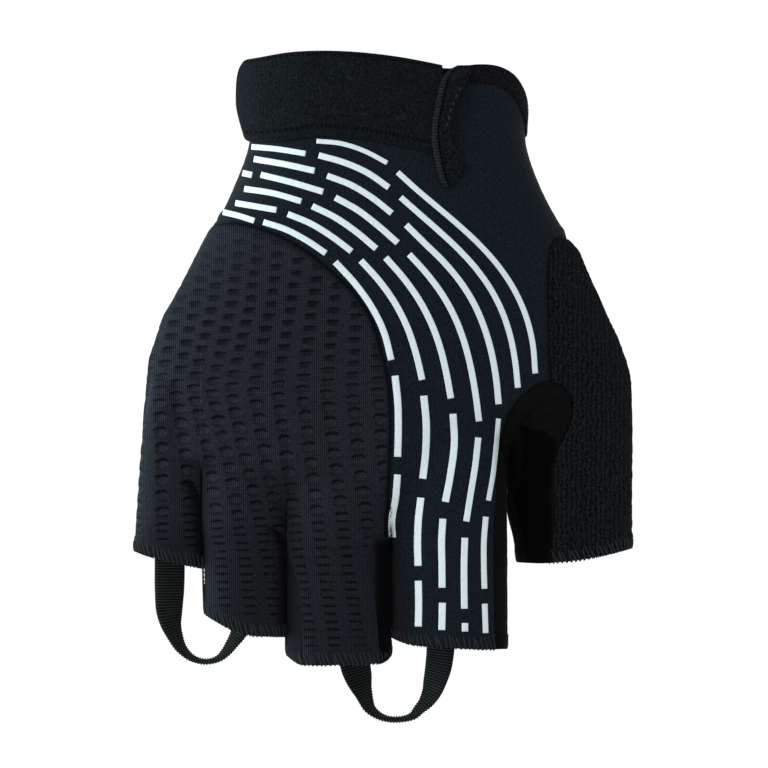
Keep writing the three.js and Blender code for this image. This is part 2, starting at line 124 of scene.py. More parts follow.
def spline(xs, ys, at):
    """A smooth curve through rising xs, as cubic pieces with the slopes of their neighbours."""
    xs = np.asarray(xs, float)
    ys = np.asarray(ys, float)
    slopes = np.gradient(ys, xs)
    at = np.clip(at, xs[0], xs[-1])
    i = np.clip(np.searchsorted(xs, at) - 1, 0, len(xs) - 2)
    h = xs[i + 1] - xs[i]
    t = (at - xs[i]) / h
    a = (2 * t**3 - 3 * t**2 + 1) * ys[i] + (t**3 - 2 * t**2 + t) * h * slopes[i]
    return a + (3 * t**2 - 2 * t**3) * ys[i + 1] + (t**3 - t**2) * h * slopes[i + 1]


def stretch_along(line):
    """The running length of a line of points."""
    return np.concatenate([[0], np.cumsum(np.linalg.norm(np.diff(line, axis=0), axis=1))])


def unit(vectors):
    """Each vector at length one."""
    return vectors / np.maximum(1e-12, np.linalg.norm(vectors, axis=1))[:, None]


def smooth_path(points, step):
    """An open smooth line through points, at even steps."""
    points = np.asarray(points, float)
    along = stretch_along(points)
    count = max(2, int(math.ceil(along[-1] / step)) + 1)
    if len(points) == 2:
        share = np.linspace(0, 1, count)[:, None]
        return points[0] * (1 - share) + points[1] * share
    at = np.linspace(0, along[-1], count)
    return np.stack([spline(along, points[:, k], at) for k in range(points.shape[1])], 1)


def line_distance(points, line):
    """The distance of each point of the plane to a line of points."""
    best = np.full(len(points), 1e9)
    for a, b in zip(line[:-1], line[1:]):
        d = b - a
        length = math.hypot(d[0], d[1])
        if length < 1e-9:
            continue
        t = np.clip(((points - a) @ d) / length**2, 0, 1)
        gap = np.hypot(points[:, 0] - a[0] - t * d[0], points[:, 1] - a[1] - t * d[1])
        best = np.minimum(best, gap)
    return best


def inside(points, outline):
    """Whether each point of the plane lies in a closed outline."""
    crossings = np.zeros(len(points), int)
    for a, b in zip(outline, np.roll(outline, -1, axis=0)):
        if a[1] == b[1]:
            continue
        spans = (a[1] > points[:, 1]) != (b[1] > points[:, 1])
        x = a[0] + (points[:, 1] - a[1]) / (b[1] - a[1]) * (b[0] - a[0])
        crossings += spans & (points[:, 0] < x)
    return crossings % 2 == 1


def region_distance(points, outline):
    """How deep each point of the plane lies in a closed outline, negative outside."""
    gap = line_distance(points, np.concatenate([outline, outline[:1]]))
    return np.where(inside(points, outline), gap, -gap)


def bump(distance, width):
    """One at no distance, falling smoothly to nothing over a few widths."""
    return np.exp(-((distance / width) ** 2))


def ease(t):
    """A smooth step from 0 to 1."""
    t = np.clip(t, 0, 1)
    return t * t * (3 - 2 * t)


def window(value, stops):
    """0 before the first stop, 1 from the second to the third, and 0 past the last, with smooth slopes."""
    rise = ease((value - stops[0]) / (stops[1] - stops[0]))
    return rise * (1 - ease((value - stops[2]) / (stops[3] - stops[2])))


def wave_noise(points, scale, octaves=3, seed=1):
    """Smooth noise of about -1 to 1, from turned waves of about the scale. It is the same each run."""
    source = np.random.default_rng(seed)
    total = np.zeros(len(points))
    weight = 1.0
    for octave in range(octaves):
        for _ in range(6):
            direction = source.normal(size=points.shape[1])
            direction /= np.linalg.norm(direction)
            turn = 2 * math.pi * (0.6 + 0.8 * source.random()) / (scale / 1.9**octave)
            total += weight * np.sin(points @ direction * turn + 2 * math.pi * source.random())
        weight *= 0.55
    return total / 4.5


# The tubes of the hand. The tables hold shares of the driving sizes, as in the frame's source.

BODY_ROWS = np.array([
    # drop, little, thumb, dorsal, palmar, arch, curl, tilt
    (-0.060, 0.548, 0.570, 1.05, 1.05, 0.0, 0.0, 0.0),
    (0.060, 0.546, 0.569, 1.05, 1.04, 0.0, 0.0, 0.0),
    (0.137, 0.550, 0.562, 1.03, 1.00, 0.1, 0.0, 0.0),
    (0.200, 0.603, 0.612, 1.02, 0.98, 0.2, 0.0, 0.0),
    (0.260, 0.671, 0.687, 1.01, 0.98, 0.3, 0.1, 0.0),
    (0.333, 0.790, 0.800, 1.00, 0.98, 0.5, 0.4, 0.0),
    (0.420, 0.905, 0.893, 0.98, 0.96, 0.7, 0.7, 0.0),
    (0.490, 0.948, 0.960, 0.96, 0.92, 0.9, 0.9, 0.0),
    (0.540, 0.961, 0.915, 0.94, 0.88, 1.0, 1.0, 0.0),
    (0.575, 0.967, 0.770, 0.93, 0.83, 1.0, 1.0, 0.0),
    (0.603, 0.971, 0.610, 0.92, 0.78, 1.0, 1.0, 0.0),
    (0.640, 0.976, 0.500, 0.90, 0.70, 1.0, 0.0, 0.0),
    (0.675, 0.976, 0.490, 0.83, 0.58, 1.0, 0.0, 0.3),
    (0.705, 0.970, 0.480, 0.67, 0.45, 1.0, 0.0, 0.65),
    (0.735, 0.965, 0.470, 0.42, 0.30, 1.0, 0.0, 0.9),
    (0.757, 0.960, 0.460, 0.20, 0.16, 1.0, 0.0, 1.0),
])
FINGERS = [
    # name, dorsal, palmar, hem's drop on the little side and on the thumb side, lean
    ("little", 0.575, 0.33, 0.813, 0.840, 0.14),
    ("ring", 0.725, 0.35, 0.913, 0.957, 0.0),
    ("middle", 0.800, 0.375, 0.997, 1.0, 0.0),
    ("index", 0.775, 0.375, 0.960, 0.975, 0.0),
]
FINGER_ROOT_DROP = 0.53
FINGER_ROWS = np.array([
    # along, width, dorsal, palmar
    (0.0, 0.78, 0.80, 0.80),
    (0.35, 0.965, 1.00, 1.00),
    (0.55, 0.99, 0.99, 1.02),
    (0.78, 1.00, 0.94, 1.06),
    (1.0, 1.00, 0.88, 1.10),
])
THUMB_HEM = (0.829, 0.803)
THUMB_ROWS = np.array([
    # drop, near, far, dorsal, palmar
    (0.400, 0.30, 0.82, 0.35, 0.85),
    (0.470, 0.38, 0.945, 0.50, 1.10),
    (0.520, 0.43, 0.985, 0.56, 1.12),
    (0.570, 0.46, 0.995, 0.50, 1.10),
    (0.640, 0.475, 1.0, 0.38, 1.07),
    (0.700, 0.49, 1.0, 0.31, 1.08),
    (0.745, 0.515, 1.0, 0.28, 1.05),
    (0.816, 0.532, 1.0, 0.25, 1.00),
])
BODY_SQUARENESS = 2.6
FINGER_SQUARENESS = 2.4
THUMB_SQUARENESS = 2.3
TUBE_STEPS = {"body": 0.009, "finger": 0.025, "thumb": 0.008}
PAST_HEM = 5.0


def ring(left, right, front, back, z, square, tilt=0.0, arch=0.0, curl=0.0, facets=200):
    """One closed ring of a tube, as a superellipse between four sides, bent by the arch and the curl."""
    angle = np.arange(facets) * 2 * math.pi / facets
    c, s = np.cos(angle), np.sin(angle)
    middle = (left + right) / 2
    x = middle + (right - left) / 2 * np.sign(c) * np.abs(c) ** (2 / square)
    y = (front + back) / 2 + (back - front) / 2 * np.sign(s) * np.abs(s) ** (2 / square)
    y += arch * np.minimum(1, np.abs(x - PALM_MIDDLE) / (PALM_WIDTH / 2)) ** 2
    curl_start = CURL_PLACE * INDEX_REACH
    y += curl * np.maximum(0, (x - curl_start) / (THUMB_REACH - curl_start)) ** 2
    return np.stack([x, y, z + tilt * (x - middle)], 1)


def loft(rings):
    """A closed tube through rings from top to bottom, as vertices and triangles."""
    facets = len(rings[0])
    centres = [(r[facets // 4] + r[3 * facets // 4]) / 2 for r in (rings[0], rings[-1])]
    vertices = np.concatenate([*rings, centres])
    triangles = []
    i = np.arange(facets)
    j = (i + 1) % facets
    for r in range(len(rings) - 1):
        a, b = r * facets + i, r * facets + j
        triangles.append(np.stack([a, a + facets, b + facets], 1))
        triangles.append(np.stack([a, b + facets, b], 1))
    top = len(rings) * facets
    last = (len(rings) - 1) * facets
    triangles.append(np.stack([np.full(facets, top), i, j], 1))
    triangles.append(np.stack([np.full(facets, top + 1), last + j, last + i], 1))
    return vertices, np.concatenate(triangles)


def dense_rows(table, step):
    """A table of rows read smoothly at every step of its first column, with that column first."""
    at = np.arange(table[0, 0], table[-1, 0] + step / 2, step)
    return np.column_stack([at, *(spline(table[:, 0], column, at) for column in table.T[1:])])


def body_tube():
    """The hand from the wrist to the fingers, with the knuckles' arch and the thumb's turn."""
    rings = []
    for drop, little, thumb, dorsal, palmar, arch, curl, tilt in dense_rows(BODY_ROWS, TUBE_STEPS["body"]):
        rings.append(ring(
            -little * LITTLE_REACH, thumb * THUMB_REACH, -dorsal * HAND_DEPTH, palmar * HAND_DEPTH,
            -drop * GLOVE_LENGTH, BODY_SQUARENESS, -tilt * CROTCH_TILT / PALM_WIDTH,
            arch * KNUCKLE_ARCH, curl * THUMB_CURL,
        ))
    return loft(rings)


def finger_places():
    """Where the fingers lie across the hand, and their hems."""
    left = -LITTLE_REACH
    places = []
    for width, (_, dorsal, palmar, hem_little, hem_thumb, lean) in zip(FINGER_WIDTHS, FINGERS):
        places.append({
            "left": left, "right": left + width, "middle": left + width / 2, "width": width,
            "dorsal": dorsal * HAND_DEPTH, "palmar": palmar * HAND_DEPTH, "lean": lean,
            "hem_little": -hem_little * GLOVE_LENGTH, "hem_thumb": -hem_thumb * GLOVE_LENGTH,
        })
        left += width + FINGER_GAP
    return places


PLACES = finger_places()


def finger_tube(place):
    """One finger, from its root past its hem."""
    root = -FINGER_ROOT_DROP * GLOVE_LENGTH
    hem = (place["hem_little"] + place["hem_thumb"]) / 2
    slope = (place["hem_thumb"] - place["hem_little"]) / place["width"]
    rings = []
    for along, width, dorsal, palmar in dense_rows(FINGER_ROWS, TUBE_STEPS["finger"]):
        middle = place["middle"] + (1 - along) * place["lean"] * place["width"]
        reach = width * place["width"] / 2
        rings.append(ring(
            middle - reach, middle + reach, -dorsal * place["dorsal"], palmar * place["palmar"],
            root + (hem - root) * along, FINGER_SQUARENESS, slope * along, facets=96,
        ))
    rings.append(rings[-1] - (0, 0, PAST_HEM))
    return loft(rings)


def thumb_tube():
    """The thumb, from the palm past its hem."""
    slope = (THUMB_HEM[0] - THUMB_HEM[1]) * GLOVE_LENGTH / (THUMB_REACH / 2)
    first, last = THUMB_ROWS[0, 0], THUMB_ROWS[-1, 0]
    rings = []
    for drop, near, far, dorsal, palmar in dense_rows(THUMB_ROWS, TUBE_STEPS["thumb"]):
        tilt = slope * ((drop - first) / (last - first)) ** 3
        rings.append(ring(
            near * THUMB_REACH, far * THUMB_REACH, -dorsal * HAND_DEPTH, palmar * HAND_DEPTH,
            -drop * GLOVE_LENGTH, THUMB_SQUARENESS, tilt, facets=96,
        ))
    rings.append(rings[-1] - (0, 0, PAST_HEM))
    return loft(rings)


# The fingers are spread apart while the tubes are joined into one skin, and closed again after

SPREAD_TOP = -66.0
SPREAD_FULL = -84.0
GAP_CENTRES = [place["right"] + FINGER_GAP / 2 for place in PLACES]
GAP_HALF = 0.4
PAST_SIDES = 200.0
WALL_PRESS = 0.75
PRESS_REACH = 2.5
KEPT_GAP = 0.02


def spread_knots():
    """The places across the hand where the spreading starts and stops, and the shift that each has."""
    knots, shifts = [-PAST_SIDES], [-2 * FINGER_SPREAD]
    shift = -2 * FINGER_SPREAD
    for centre in GAP_CENTRES:
        knots += [centre - GAP_HALF, centre + GAP_HALF]
        shifts += [shift, shift + FINGER_SPREAD]
        shift += FINGER_SPREAD
    return np.array([*knots, PAST_SIDES]), np.array([*shifts, shift])


def spread(points, back=False):
    """Points with the fingers spread apart, or closed again and pressed against each other."""
    knots, shifts = spread_knots()
    amount = ease((SPREAD_TOP - points[:, 2]) / (SPREAD_TOP - SPREAD_FULL))
    moved = points.copy()
    if not back:
        moved[:, 0] += amount * np.interp(points[:, 0], knots, shifts)
        return moved
    for k in range(len(knots) - 1):
        low = knots[k] + amount * shifts[k]
        high = knots[k + 1] + amount * shifts[k + 1]
        here = (points[:, 0] >= low) & (points[:, 0] <= high)
        t = (points[:, 0] - low) / (high - low)
        moved[here, 0] = (knots[k] + t * (knots[k + 1] - knots[k]))[here]
    for centre in GAP_CENTRES[:3]:
        away = moved[:, 0] - centre
        press = WALL_PRESS * amount * np.exp(-np.maximum(0, np.abs(away) - GAP_HALF) / PRESS_REACH)
        moved[:, 0] -= np.sign(away) * np.minimum(press, np.maximum(0, np.abs(away) - KEPT_GAP))
    return moved


# Meshes as arrays


def object_from(name, vertices, faces):
    """A Blender object from vertices in millimetres and faces of any size."""
    mesh = bpy.data.meshes.new(name)
    vertices = np.asarray(vertices, float) * MM
    faces = faces.tolist() if isinstance(faces, np.ndarray) else faces
    mesh.from_pydata(vertices.tolist(), [], faces)
    mesh.validate()
    mesh.update()
    mesh.polygons.foreach_set("use_smooth", np.ones(len(mesh.polygons), bool))
    obj = bpy.data.objects.new(name, mesh)
    bpy.context.scene.collection.objects.link(obj)
    return obj


def merge(parts):
    """Several meshes of vertices and triangles as one."""
    offset = 0
    vertices, triangles = [], []
    for v, t in parts:
        vertices.append(np.asarray(v, float))
        triangles.append(np.asarray(t, int) + offset)
        offset += len(v)
    return np.concatenate(vertices), np.concatenate(triangles)


def remeshed(vertices, triangles, voxel):
    """The outer skin of closed tubes that run into each other, as vertices and quads."""
    obj = object_from("work", vertices, triangles)
    modifier = obj.modifiers.new("skin", "REMESH")
    modifier.mode = "VOXEL"
    modifier.voxel_size = voxel * MM
    modifier.adaptivity = 0.0
    evaluated = obj.evaluated_get(bpy.context.evaluated_depsgraph_get())
    mesh = evaluated.to_mesh()
    points = np.zeros(len(mesh.vertices) * 3)
    mesh.vertices.foreach_get("co", points)
    corners = np.zeros(len(mesh.loops), int)
    mesh.loops.foreach_get("vertex_index", corners)
    quads = corners.reshape(-1, 4)
    evaluated.to_mesh_clear()
    old = obj.data
    bpy.data.objects.remove(obj)
    bpy.data.meshes.remove(old)
    return points.reshape(-1, 3) / MM, quads


def edges_of(faces):
    """Each edge of a mesh once, as pairs of vertices."""
    sides = faces.shape[1]
    pairs = np.concatenate([faces[:, [k, (k + 1) % sides]] for k in range(sides)])
    return np.unique(np.sort(pairs, axis=1), axis=0)


def neighbour_mean(values, edges, counts):
    """The mean of the values at the neighbours of each vertex."""
    a, b = edges[:, 0], edges[:, 1]
    n = len(values)
    total = np.stack([
        np.bincount(a, values[b, k], n) + np.bincount(b, values[a, k], n) for k in range(values.shape[1])
    ], 1)
    return total / counts[:, None]


def relaxed(values, edges, rounds, hold=None, shrink=-0.53):
    """Values smoothed over a mesh's edges. shrink undoes the shrinking, and hold marks vertices that stay."""
    counts = np.maximum(1, np.bincount(edges.ravel(), minlength=len(values)))
    values = values.copy()
    for _ in range(rounds):
        for weight in (0.5, shrink):
            if weight == 0:
                continue
            step = (neighbour_mean(values, edges, counts) - values) * weight
            if hold is not None:
                step[hold] = 0
            values += step
    return values


def normals_of(vertices, faces):
    """A normal at each vertex, from the faces round it."""
    a, b, c = (vertices[faces[:, k]] for k in (0, 1, 2))
    flat = np.cross(b - a, c - a)
    if faces.shape[1] == 4:
        flat = np.cross(c - a, vertices[faces[:, 3]] - b)
    total = np.zeros((len(vertices), 3))
    for k in range(faces.shape[1]):
        for axis in range(3):
            total[:, axis] += np.bincount(faces[:, k], flat[:, axis], len(vertices))
    return unit(total)


class Skin:
    """A triangle mesh with named columns of values at its vertices."""

    def __init__(self, points, triangles, fields):
        self.points = points
        self.triangles = triangles
        self.fields = fields

    def columns(self):
        """The points and all values side by side."""
        return np.column_stack([self.points, *self.fields.values()])

    def rebuilt(self, columns, triangles):
        """A skin of the same columns at other vertices."""
        fields = {name: columns[:, 3 + k] for k, name in enumerate(self.fields)}
        return Skin(columns[:, :3], triangles, fields)

    def compact(self, columns, triangles):
        """The same without the vertices that no triangle uses."""
        used, inverse = np.unique(triangles, return_inverse=True)
        return self.rebuilt(columns[used], inverse.reshape(-1, 3))

    def clipped(self, value):
        """The part where value is above zero, cut along its zero line."""
        value = np.where(np.abs(value) < 0.01, 0.01, value)
        keep = value > 0
        columns = self.columns()
        t = self.triangles
        count = keep[t].sum(1)
        whole = t[count == 3]
        crossing = t[(count == 1) | (count == 2)]
        rotated = []
        for tri_count, lone in ((1, True), (2, False)):
            some = crossing[keep[crossing].sum(1) == tri_count]
            odd = np.argmax(keep[some] == lone, axis=1)
            order = (odd[:, None] + np.arange(3)) % 3
            rotated.append(np.take_along_axis(some, order, 1))
        one, two = rotated
        pairs = np.concatenate([one[:, [0, 1]], one[:, [0, 2]], two[:, [0, 1]], two[:, [0, 2]]])
        ordered = np.sort(pairs, axis=1)
        unique, inverse = np.unique(ordered, axis=0, return_inverse=True)
        inverse = inverse.ravel()
        a, b = unique[:, 0], unique[:, 1]
        share = (value[a] / (value[a] - value[b]))[:, None]
        fresh = columns[a] * (1 - share) + columns[b] * share
        fresh_index = inverse + len(columns)
        n1, n2 = len(one), len(two)
        one_b, one_c = fresh_index[:n1], fresh_index[n1:2 * n1]
        two_b, two_c = fresh_index[2 * n1:2 * n1 + n2], fresh_index[2 * n1 + n2:]
        triangles = np.concatenate([
            whole,
            np.stack([one[:, 0], one_b, one_c], 1),
            np.stack([two_b, two[:, 1], two[:, 2]], 1),
            np.stack([two_b, two[:, 2], two_c], 1),
        ])
        return self.compact(np.concatenate([columns, fresh]), triangles)

    def subdivided(self):
        """Each triangle as four."""
        t = self.triangles
        pairs = np.concatenate([t[:, [0, 1]], t[:, [1, 2]], t[:, [2, 0]]])
        unique, inverse = np.unique(np.sort(pairs, axis=1), axis=0, return_inverse=True)
        inverse = inverse.ravel()
        columns = self.columns()
        middle = (columns[unique[:, 0]] + columns[unique[:, 1]]) / 2
        ab, bc, ca = (inverse[k * len(t):(k + 1) * len(t)] + len(columns) for k in range(3))
        triangles = np.concatenate([
            np.stack([t[:, 0], ab, ca], 1),
            np.stack([ab, t[:, 1], bc], 1),
            np.stack([ca, bc, t[:, 2]], 1),
            np.stack([ab, bc, ca], 1),
        ])
        return self.rebuilt(np.concatenate([columns, middle]), triangles)

    def normal(self):
        """The outward direction at each vertex."""
        return np.column_stack([self.fields["nx"], self.fields["ny"], self.fields["nz"]])


def rim_of(triangles):
    """The directed edges of a mesh that have no partner."""
    pairs = np.concatenate([triangles[:, [0, 1]], triangles[:, [1, 2]], triangles[:, [2, 0]]])
    size = triangles.max() + 1
    forward = pairs[:, 0] * size + pairs[:, 1]
    backward = pairs[:, 1] * size + pairs[:, 0]
    return pairs[~np.isin(forward, backward)]


LEAST_PART = 40


def largest_part(triangles):
    """The triangles of a mesh without its loose crumbs."""
    label = np.arange(triangles.max() + 1)
    while True:
        low = label[triangles].min(1)
        fresh = label.copy()
        for k in range(3):
            np.minimum.at(fresh, triangles[:, k], low)
        fresh = fresh[fresh]
        if (fresh == label).all():
            break
        label = fresh
    group = label[triangles[:, 0]]
    names, counts = np.unique(group, return_counts=True)
    return triangles[np.isin(group, names[counts >= LEAST_PART])]


def walled(outer, inner, triangles):
    """A closed wall between two skins of one layout."""
    rim = rim_of(triangles)
    n = len(outer)
    a, b = rim[:, 0], rim[:, 1]
    sides = np.concatenate([np.stack([a, a + n, b + n], 1), np.stack([a, b + n, b], 1)])
    faces = np.concatenate([triangles, triangles[:, ::-1] + n, sides])
    return np.concatenate([outer, inner]), faces


def walled_finer(outer, inner, triangles, coarse):
    """A closed wall whose inner skin keeps the coarse triangles that the outer one splits in four."""
    count, corners = len(outer), coarse.max() + 1
    rim = rim_of(triangles)
    starts, ends = rim[rim[:, 1] >= corners], rim[rim[:, 0] >= corners]
    a, middle = starts[np.argsort(starts[:, 1])].T
    b = ends[np.argsort(ends[:, 0]), 1]
    sides = np.concatenate([
        np.stack([a, a + count, middle], 1),
        np.stack([middle, a + count, b + count], 1),
        np.stack([middle, b + count, b], 1),
    ])
    faces = np.concatenate([triangles, coarse[:, ::-1] + count, sides])
    return np.concatenate([outer, inner[:corners]]), faces


# Seams and edges, measured as pixels of the photograph. FAR lies past the picture's edge.

FAR = 1400.0
STRIPE_SEAM_PX = [
    (216, 223), (235, 223), (256, 227), (277, 235), (298, 246), (319, 261), (336, 276), (351, 290),
    (364, 307), (372, 322), (378, 339), (383, 358), (386, 370), (389, 385), (390.5, 411), (391, 439),
    (390, 466), (388, 494), (387, 522), (387, 536), (390, 548), (390.8, 560),
]
THUMB_SEAM_PX = [
    (590, 247), (575, 243), (567, 238), (557, 239), (552, 248), (550.5, 262), (549.6, 289), (550.5, 325),
    (551, 361), (552, 384), (552, 470),
]
ARCH_PX = [
    (497, 660), (497, 641), (496, 590), (496, 534), (499, 487), (502, 446), (508, 421), (521, 399),
    (536.6, 387), (550.7, 382), (561.7, 385), (571, 396), (572, 421), (565, 437), (557, 453),
    (554, 487), (555, 519), (550, 561), (550, 580),
]
# Each region's plain corners before its line, the line, and its plain corners after it
REGIONS_PX = {
    "stripe": ([(-FAR, FAR), (-FAR, 224)], STRIPE_SEAM_PX, [(390.8, FAR)]),
    "thumb": ([(FAR, FAR), (FAR, 247)], THUMB_SEAM_PX, [(552, FAR)]),
    "arch": ([(497, FAR)], ARCH_PX, [(550, FAR)]),
}
MIDDLE_INDEX_PX = [
    (374, 537), (381, 534.5), (386, 537.5), (389, 546), (396.5, 550), (401, 569), (404, 590), (405, 633),
    (405, 690), (382, 690), (380, 654), (375, 600), (371.5, 575), (371, 550),
]
RING_MIDDLE_PX = [
    (281.5, 538), (287.5, 550), (292.4, 567), (298, 586.5), (300, 611), (300.5, 626), (302, 650), (302, 690),
    (284, 690), (284, 600), (281, 560),
]
HEMS_PX = [
    [(130, 549), (137, 552), (155, 558), (186, 565), (210, 568.5)],
    [(198, 608.5), (202.5, 612.5), (216, 621.3), (231, 629.3), (249, 635), (270, 636), (292, 636)],
    [(284, 652), (289, 657), (298, 663.5), (313, 665), (340, 664.6), (369, 664), (386, 661), (392, 654)],
    [(386, 634), (391, 637), (409, 644), (430, 646.3), (460, 648.3), (485, 649.2), (512, 649)],
    [(512, 562), (527, 563), (555, 562.5), (580, 560), (605.7, 554.7), (632.4, 547), (640, 544)],
]
THUMB_HEM_FROM = 31.0

# The walls between the fingers
STAYS = [place["middle"] for place in PLACES]
WALLS = [
    # height of the top, depth of the front seam, and the outline of what the photograph shows of the wall
    (-98.0, 0.5, None),
    (-106.0, 1.0, RING_MIDDLE_PX),
    (-112.0, -3.0, MIDDLE_INDEX_PX),
]
WALL_FRONT = 2.0
WALL_PALM_SEAM = 6.5
WEBS = [
    # gap, height, half width, half depth and half height of the web that fills its top
    (1, -103.0, 4.0, 11.5, 11.0),
    (2, -106.0, 4.0, 13.0, 11.5),
]

# Small shifts that bring the skin to the photograph's outline
SIDE_SHIFTS = np.array([
    # height, shift of the little finger's side and of the thumb's side, outwards
    (-10, 0.0, 0.0), (-25, 0.0, 0.35), (-36, 0.0, 0.35), (-40, 0.9, 0.4), (-44, 0.3, 0.5), (-48, -0.5, 0.3),
    (-51.5, -1.0, -0.1), (-55, -1.3, -0.1), (-59, -1.4, 0.2), (-63, -0.8, 0.35), (-67, -0.7, 0.25),
    (-70, -0.4, 0.25), (-74, 0.2, 0.4), (-78, 0.0, 0.35), (-85, 0.2, 0.2), (-100, 0.25, 0.0),
    (-120, 0.25, -0.05), (-130, 0.25, -0.05),
])
SIDE_SHIFT_START = 18.0
SIDE_SHIFT_REACH = 22.0
RING_SHIFT = 0.6
RING_SHIFT_DROPS = (112.0, 122.0, 140.0, 146.0)
RING_SHIFT_HALF = 1.5
RING_SHIFT_FADE = 5.0
CROTCH_SHIFT = 1.3
CROTCH_HEIGHT = -112.5
CROTCH_TALL = 6.0
CROTCH_SIDES = (30.15, 30.85, 34.0, 40.0)


def closed_region(before, line, after):
    """A closed outline: a smooth line through measured pixels, with plain corners before and after it."""
    return np.concatenate([from_pixels(before), smooth_path(from_pixels(line), 1.0), from_pixels(after)])


def closed_path(pixels):
    """A smooth closed outline through measured pixels."""
    return smooth_path(from_pixels([*pixels, pixels[0]]), 0.7)[:-1]


def palm_line(x):
    """How deep the side seams lie, across the hand."""
    knots = (-1.5 * GLOVE_LENGTH, INDEX_REACH, 0.72 * THUMB_REACH, 1.5 * GLOVE_LENGTH)
    rises = (0.0, 0.0, 0.7, 1.0)
    return SIDE_SEAM + THUMB_SEAM_RISE * np.interp(x, knots, rises)


def hem_place(points):
    """The height at which the hem of its finger passes each point, measured as the camera sees it."""
    middles = [-PAST_SIDES, GAP_CENTRES[0] + RING_SHIFT, *GAP_CENTRES[1:3], THUMB_HEM_FROM, PAST_SIDES]
    across = seen(points)[:, 0]
    height = np.zeros(len(points))
    for k, pixels in enumerate(HEMS_PX):
        line = smooth_path(from_pixels(pixels), 0.5)
        here = (points[:, 0] >= middles[k]) & (points[:, 0] < middles[k + 1])
        height[here] = np.interp(across[here], line[:, 0], line[:, 1])
    return unseen((across, height), points[:, 1])[1]


def web_blob(gap, height, half_width, half_depth, half_height):
    """A rounded web between two fingers, as a closed tube of ever smaller rings."""
    centre = GAP_CENTRES[gap]
    rings = []
    for turn in np.linspace(0.05, math.pi - 0.05, 24):
        size = math.sin(turn)
        rings.append(ring(
            centre - half_width * size, centre + half_width * size, -half_depth * size, half_depth * size,
            height + half_height * math.cos(turn), 2.0, facets=32,
        ))
    return loft(rings)


def shifted(points):
    """The skin's points, with small shifts towards the photograph's outline."""
    x, height = points[:, 0].copy(), points[:, 2]
    for column, side in ((1, -1), (2, 1)):
        shift = np.interp(-height, -SIDE_SHIFTS[:, 0], SIDE_SHIFTS[:, column])
        x += side * shift * ease((side * x - SIDE_SHIFT_START) / SIDE_SHIFT_REACH)
    aside = np.abs(x - GAP_CENTRES[0]) - RING_SHIFT_HALF
    x += RING_SHIFT * window(-height, RING_SHIFT_DROPS) * (1 - ease(aside / RING_SHIFT_FADE))
    x -= CROTCH_SHIFT * bump(height - CROTCH_HEIGHT, CROTCH_TALL) * window(x, CROTCH_SIDES)
    return np.column_stack([x, points[:, 1:]])


def wall_depth(points, view, gap):
    """How deep each point lies in the wall between two fingers, negative outside."""
    top, seam, shown = WALLS[gap]
    x, y, z = points.T
    deep = np.min([y - seam, top - z, WALL_PALM_SEAM - y, x - STAYS[gap], STAYS[gap + 1] - x], axis=0)
    if shown:
        front = np.minimum(region_distance(view, closed_path(shown)), WALL_FRONT - y)
        if shown is RING_MIDDLE_PX:
            front = np.minimum(front, x - GAP_CENTRES[gap])
        deep = np.maximum(deep, front)
    return deep


def hand_skin():
    """The glove's whole skin, with its distances to every seam and edge."""
    fingers = [finger_tube(place) for place in PLACES]
    tubes = [body_tube(), *fingers, thumb_tube(), *(web_blob(*web) for web in WEBS)]
    points, quads = remeshed(*merge([(spread(v), t) for v, t in tubes]), VOXEL)
    points = relaxed(points, edges_of(quads), 30)
    points = shifted(spread(points, back=True))
    normals = normals_of(points, quads)
    if (normals * (points - points.mean(0))).sum() < 0:
        normals = -normals
        quads = quads[:, ::-1]
    normals = unit(relaxed(normals, edges_of(quads), 3, shrink=0))
    triangles = np.concatenate([quads[:, [0, 1, 2]], quads[:, [0, 2, 3]]])
    view = seen(points)
    fields = {"nx": normals[:, 0], "ny": normals[:, 1], "nz": normals[:, 2]}
    fields["palm"] = points[:, 1] - palm_line(points[:, 0])
    for name, region in REGIONS_PX.items():
        fields[name] = region_distance(view, closed_region(*region))
    fields["mouth"] = mouth_distance(points)
    fields["hem"] = points[:, 2] - hem_place(points)
    for gap in range(len(WALLS)):
        fields[f"side{gap}"] = wall_depth(points, view, gap)
    return Skin(points, triangles, fields)


# How each panel lies: sunk along its seams, a little puckered beside them

SEAM_SINK = 0.75
WALL_SINK = -0.10
SEAM_REACH = 0.8
SEAM_SWELL = 0.18
PUCKER = 0.10
HEM_TURN = 0.35
HEM_RISE = 0.22
HEM_TALL = 3.5
HEM_EDGE = 0.5
BINDING_LAP = 0.3


def sunk(skin, seams):
    """How far the cloth sinks beside its seams and turns in at its hem."""
    nearest = np.min([np.maximum(0, sign * skin.fields[name]) for name, sign in seams], axis=0)
    depths = []
    for name, sign in seams:
        sink = WALL_SINK if name.startswith("side") else SEAM_SINK
        depths.append(sink * np.exp(-np.maximum(0, sign * skin.fields[name]) / SEAM_REACH))
    hem = skin.fields["hem"]
    depth = np.max(depths, axis=0) + HEM_TURN * np.exp(-np.maximum(0, hem) / HEM_EDGE)
    depth -= HEM_RISE * (1 - ease((hem - HEM_TALL) / HEM_EDGE))
    swell = SEAM_SWELL * bump(nearest - 2.0, 1.1)
    pucker = PUCKER * bump(nearest, 3.0) * wave_noise(skin.points, 3.2, 2, 5)
    return depth - swell - pucker


def cut(skin, seams):
    """The part of the skin on the named sides of its seams, above its hem and below the cuff's binding."""
    skin = skin.clipped(skin.fields["mouth"] - BINDING_WIDTH + BINDING_LAP)
    for name, sign in [*seams, ("hem", 1)]:
        skin = skin.clipped(sign * skin.fields[name])
    return skin.compact(skin.columns(), largest_part(skin.triangles))


def finer(part):
    """The part with each triangle as four, smoothed inside its rim."""
    part = part.subdivided()
    hold = np.unique(rim_of(part.triangles))
    part.points = relaxed(part.points, edges_of(part.triangles), 3, hold=hold)
    return part


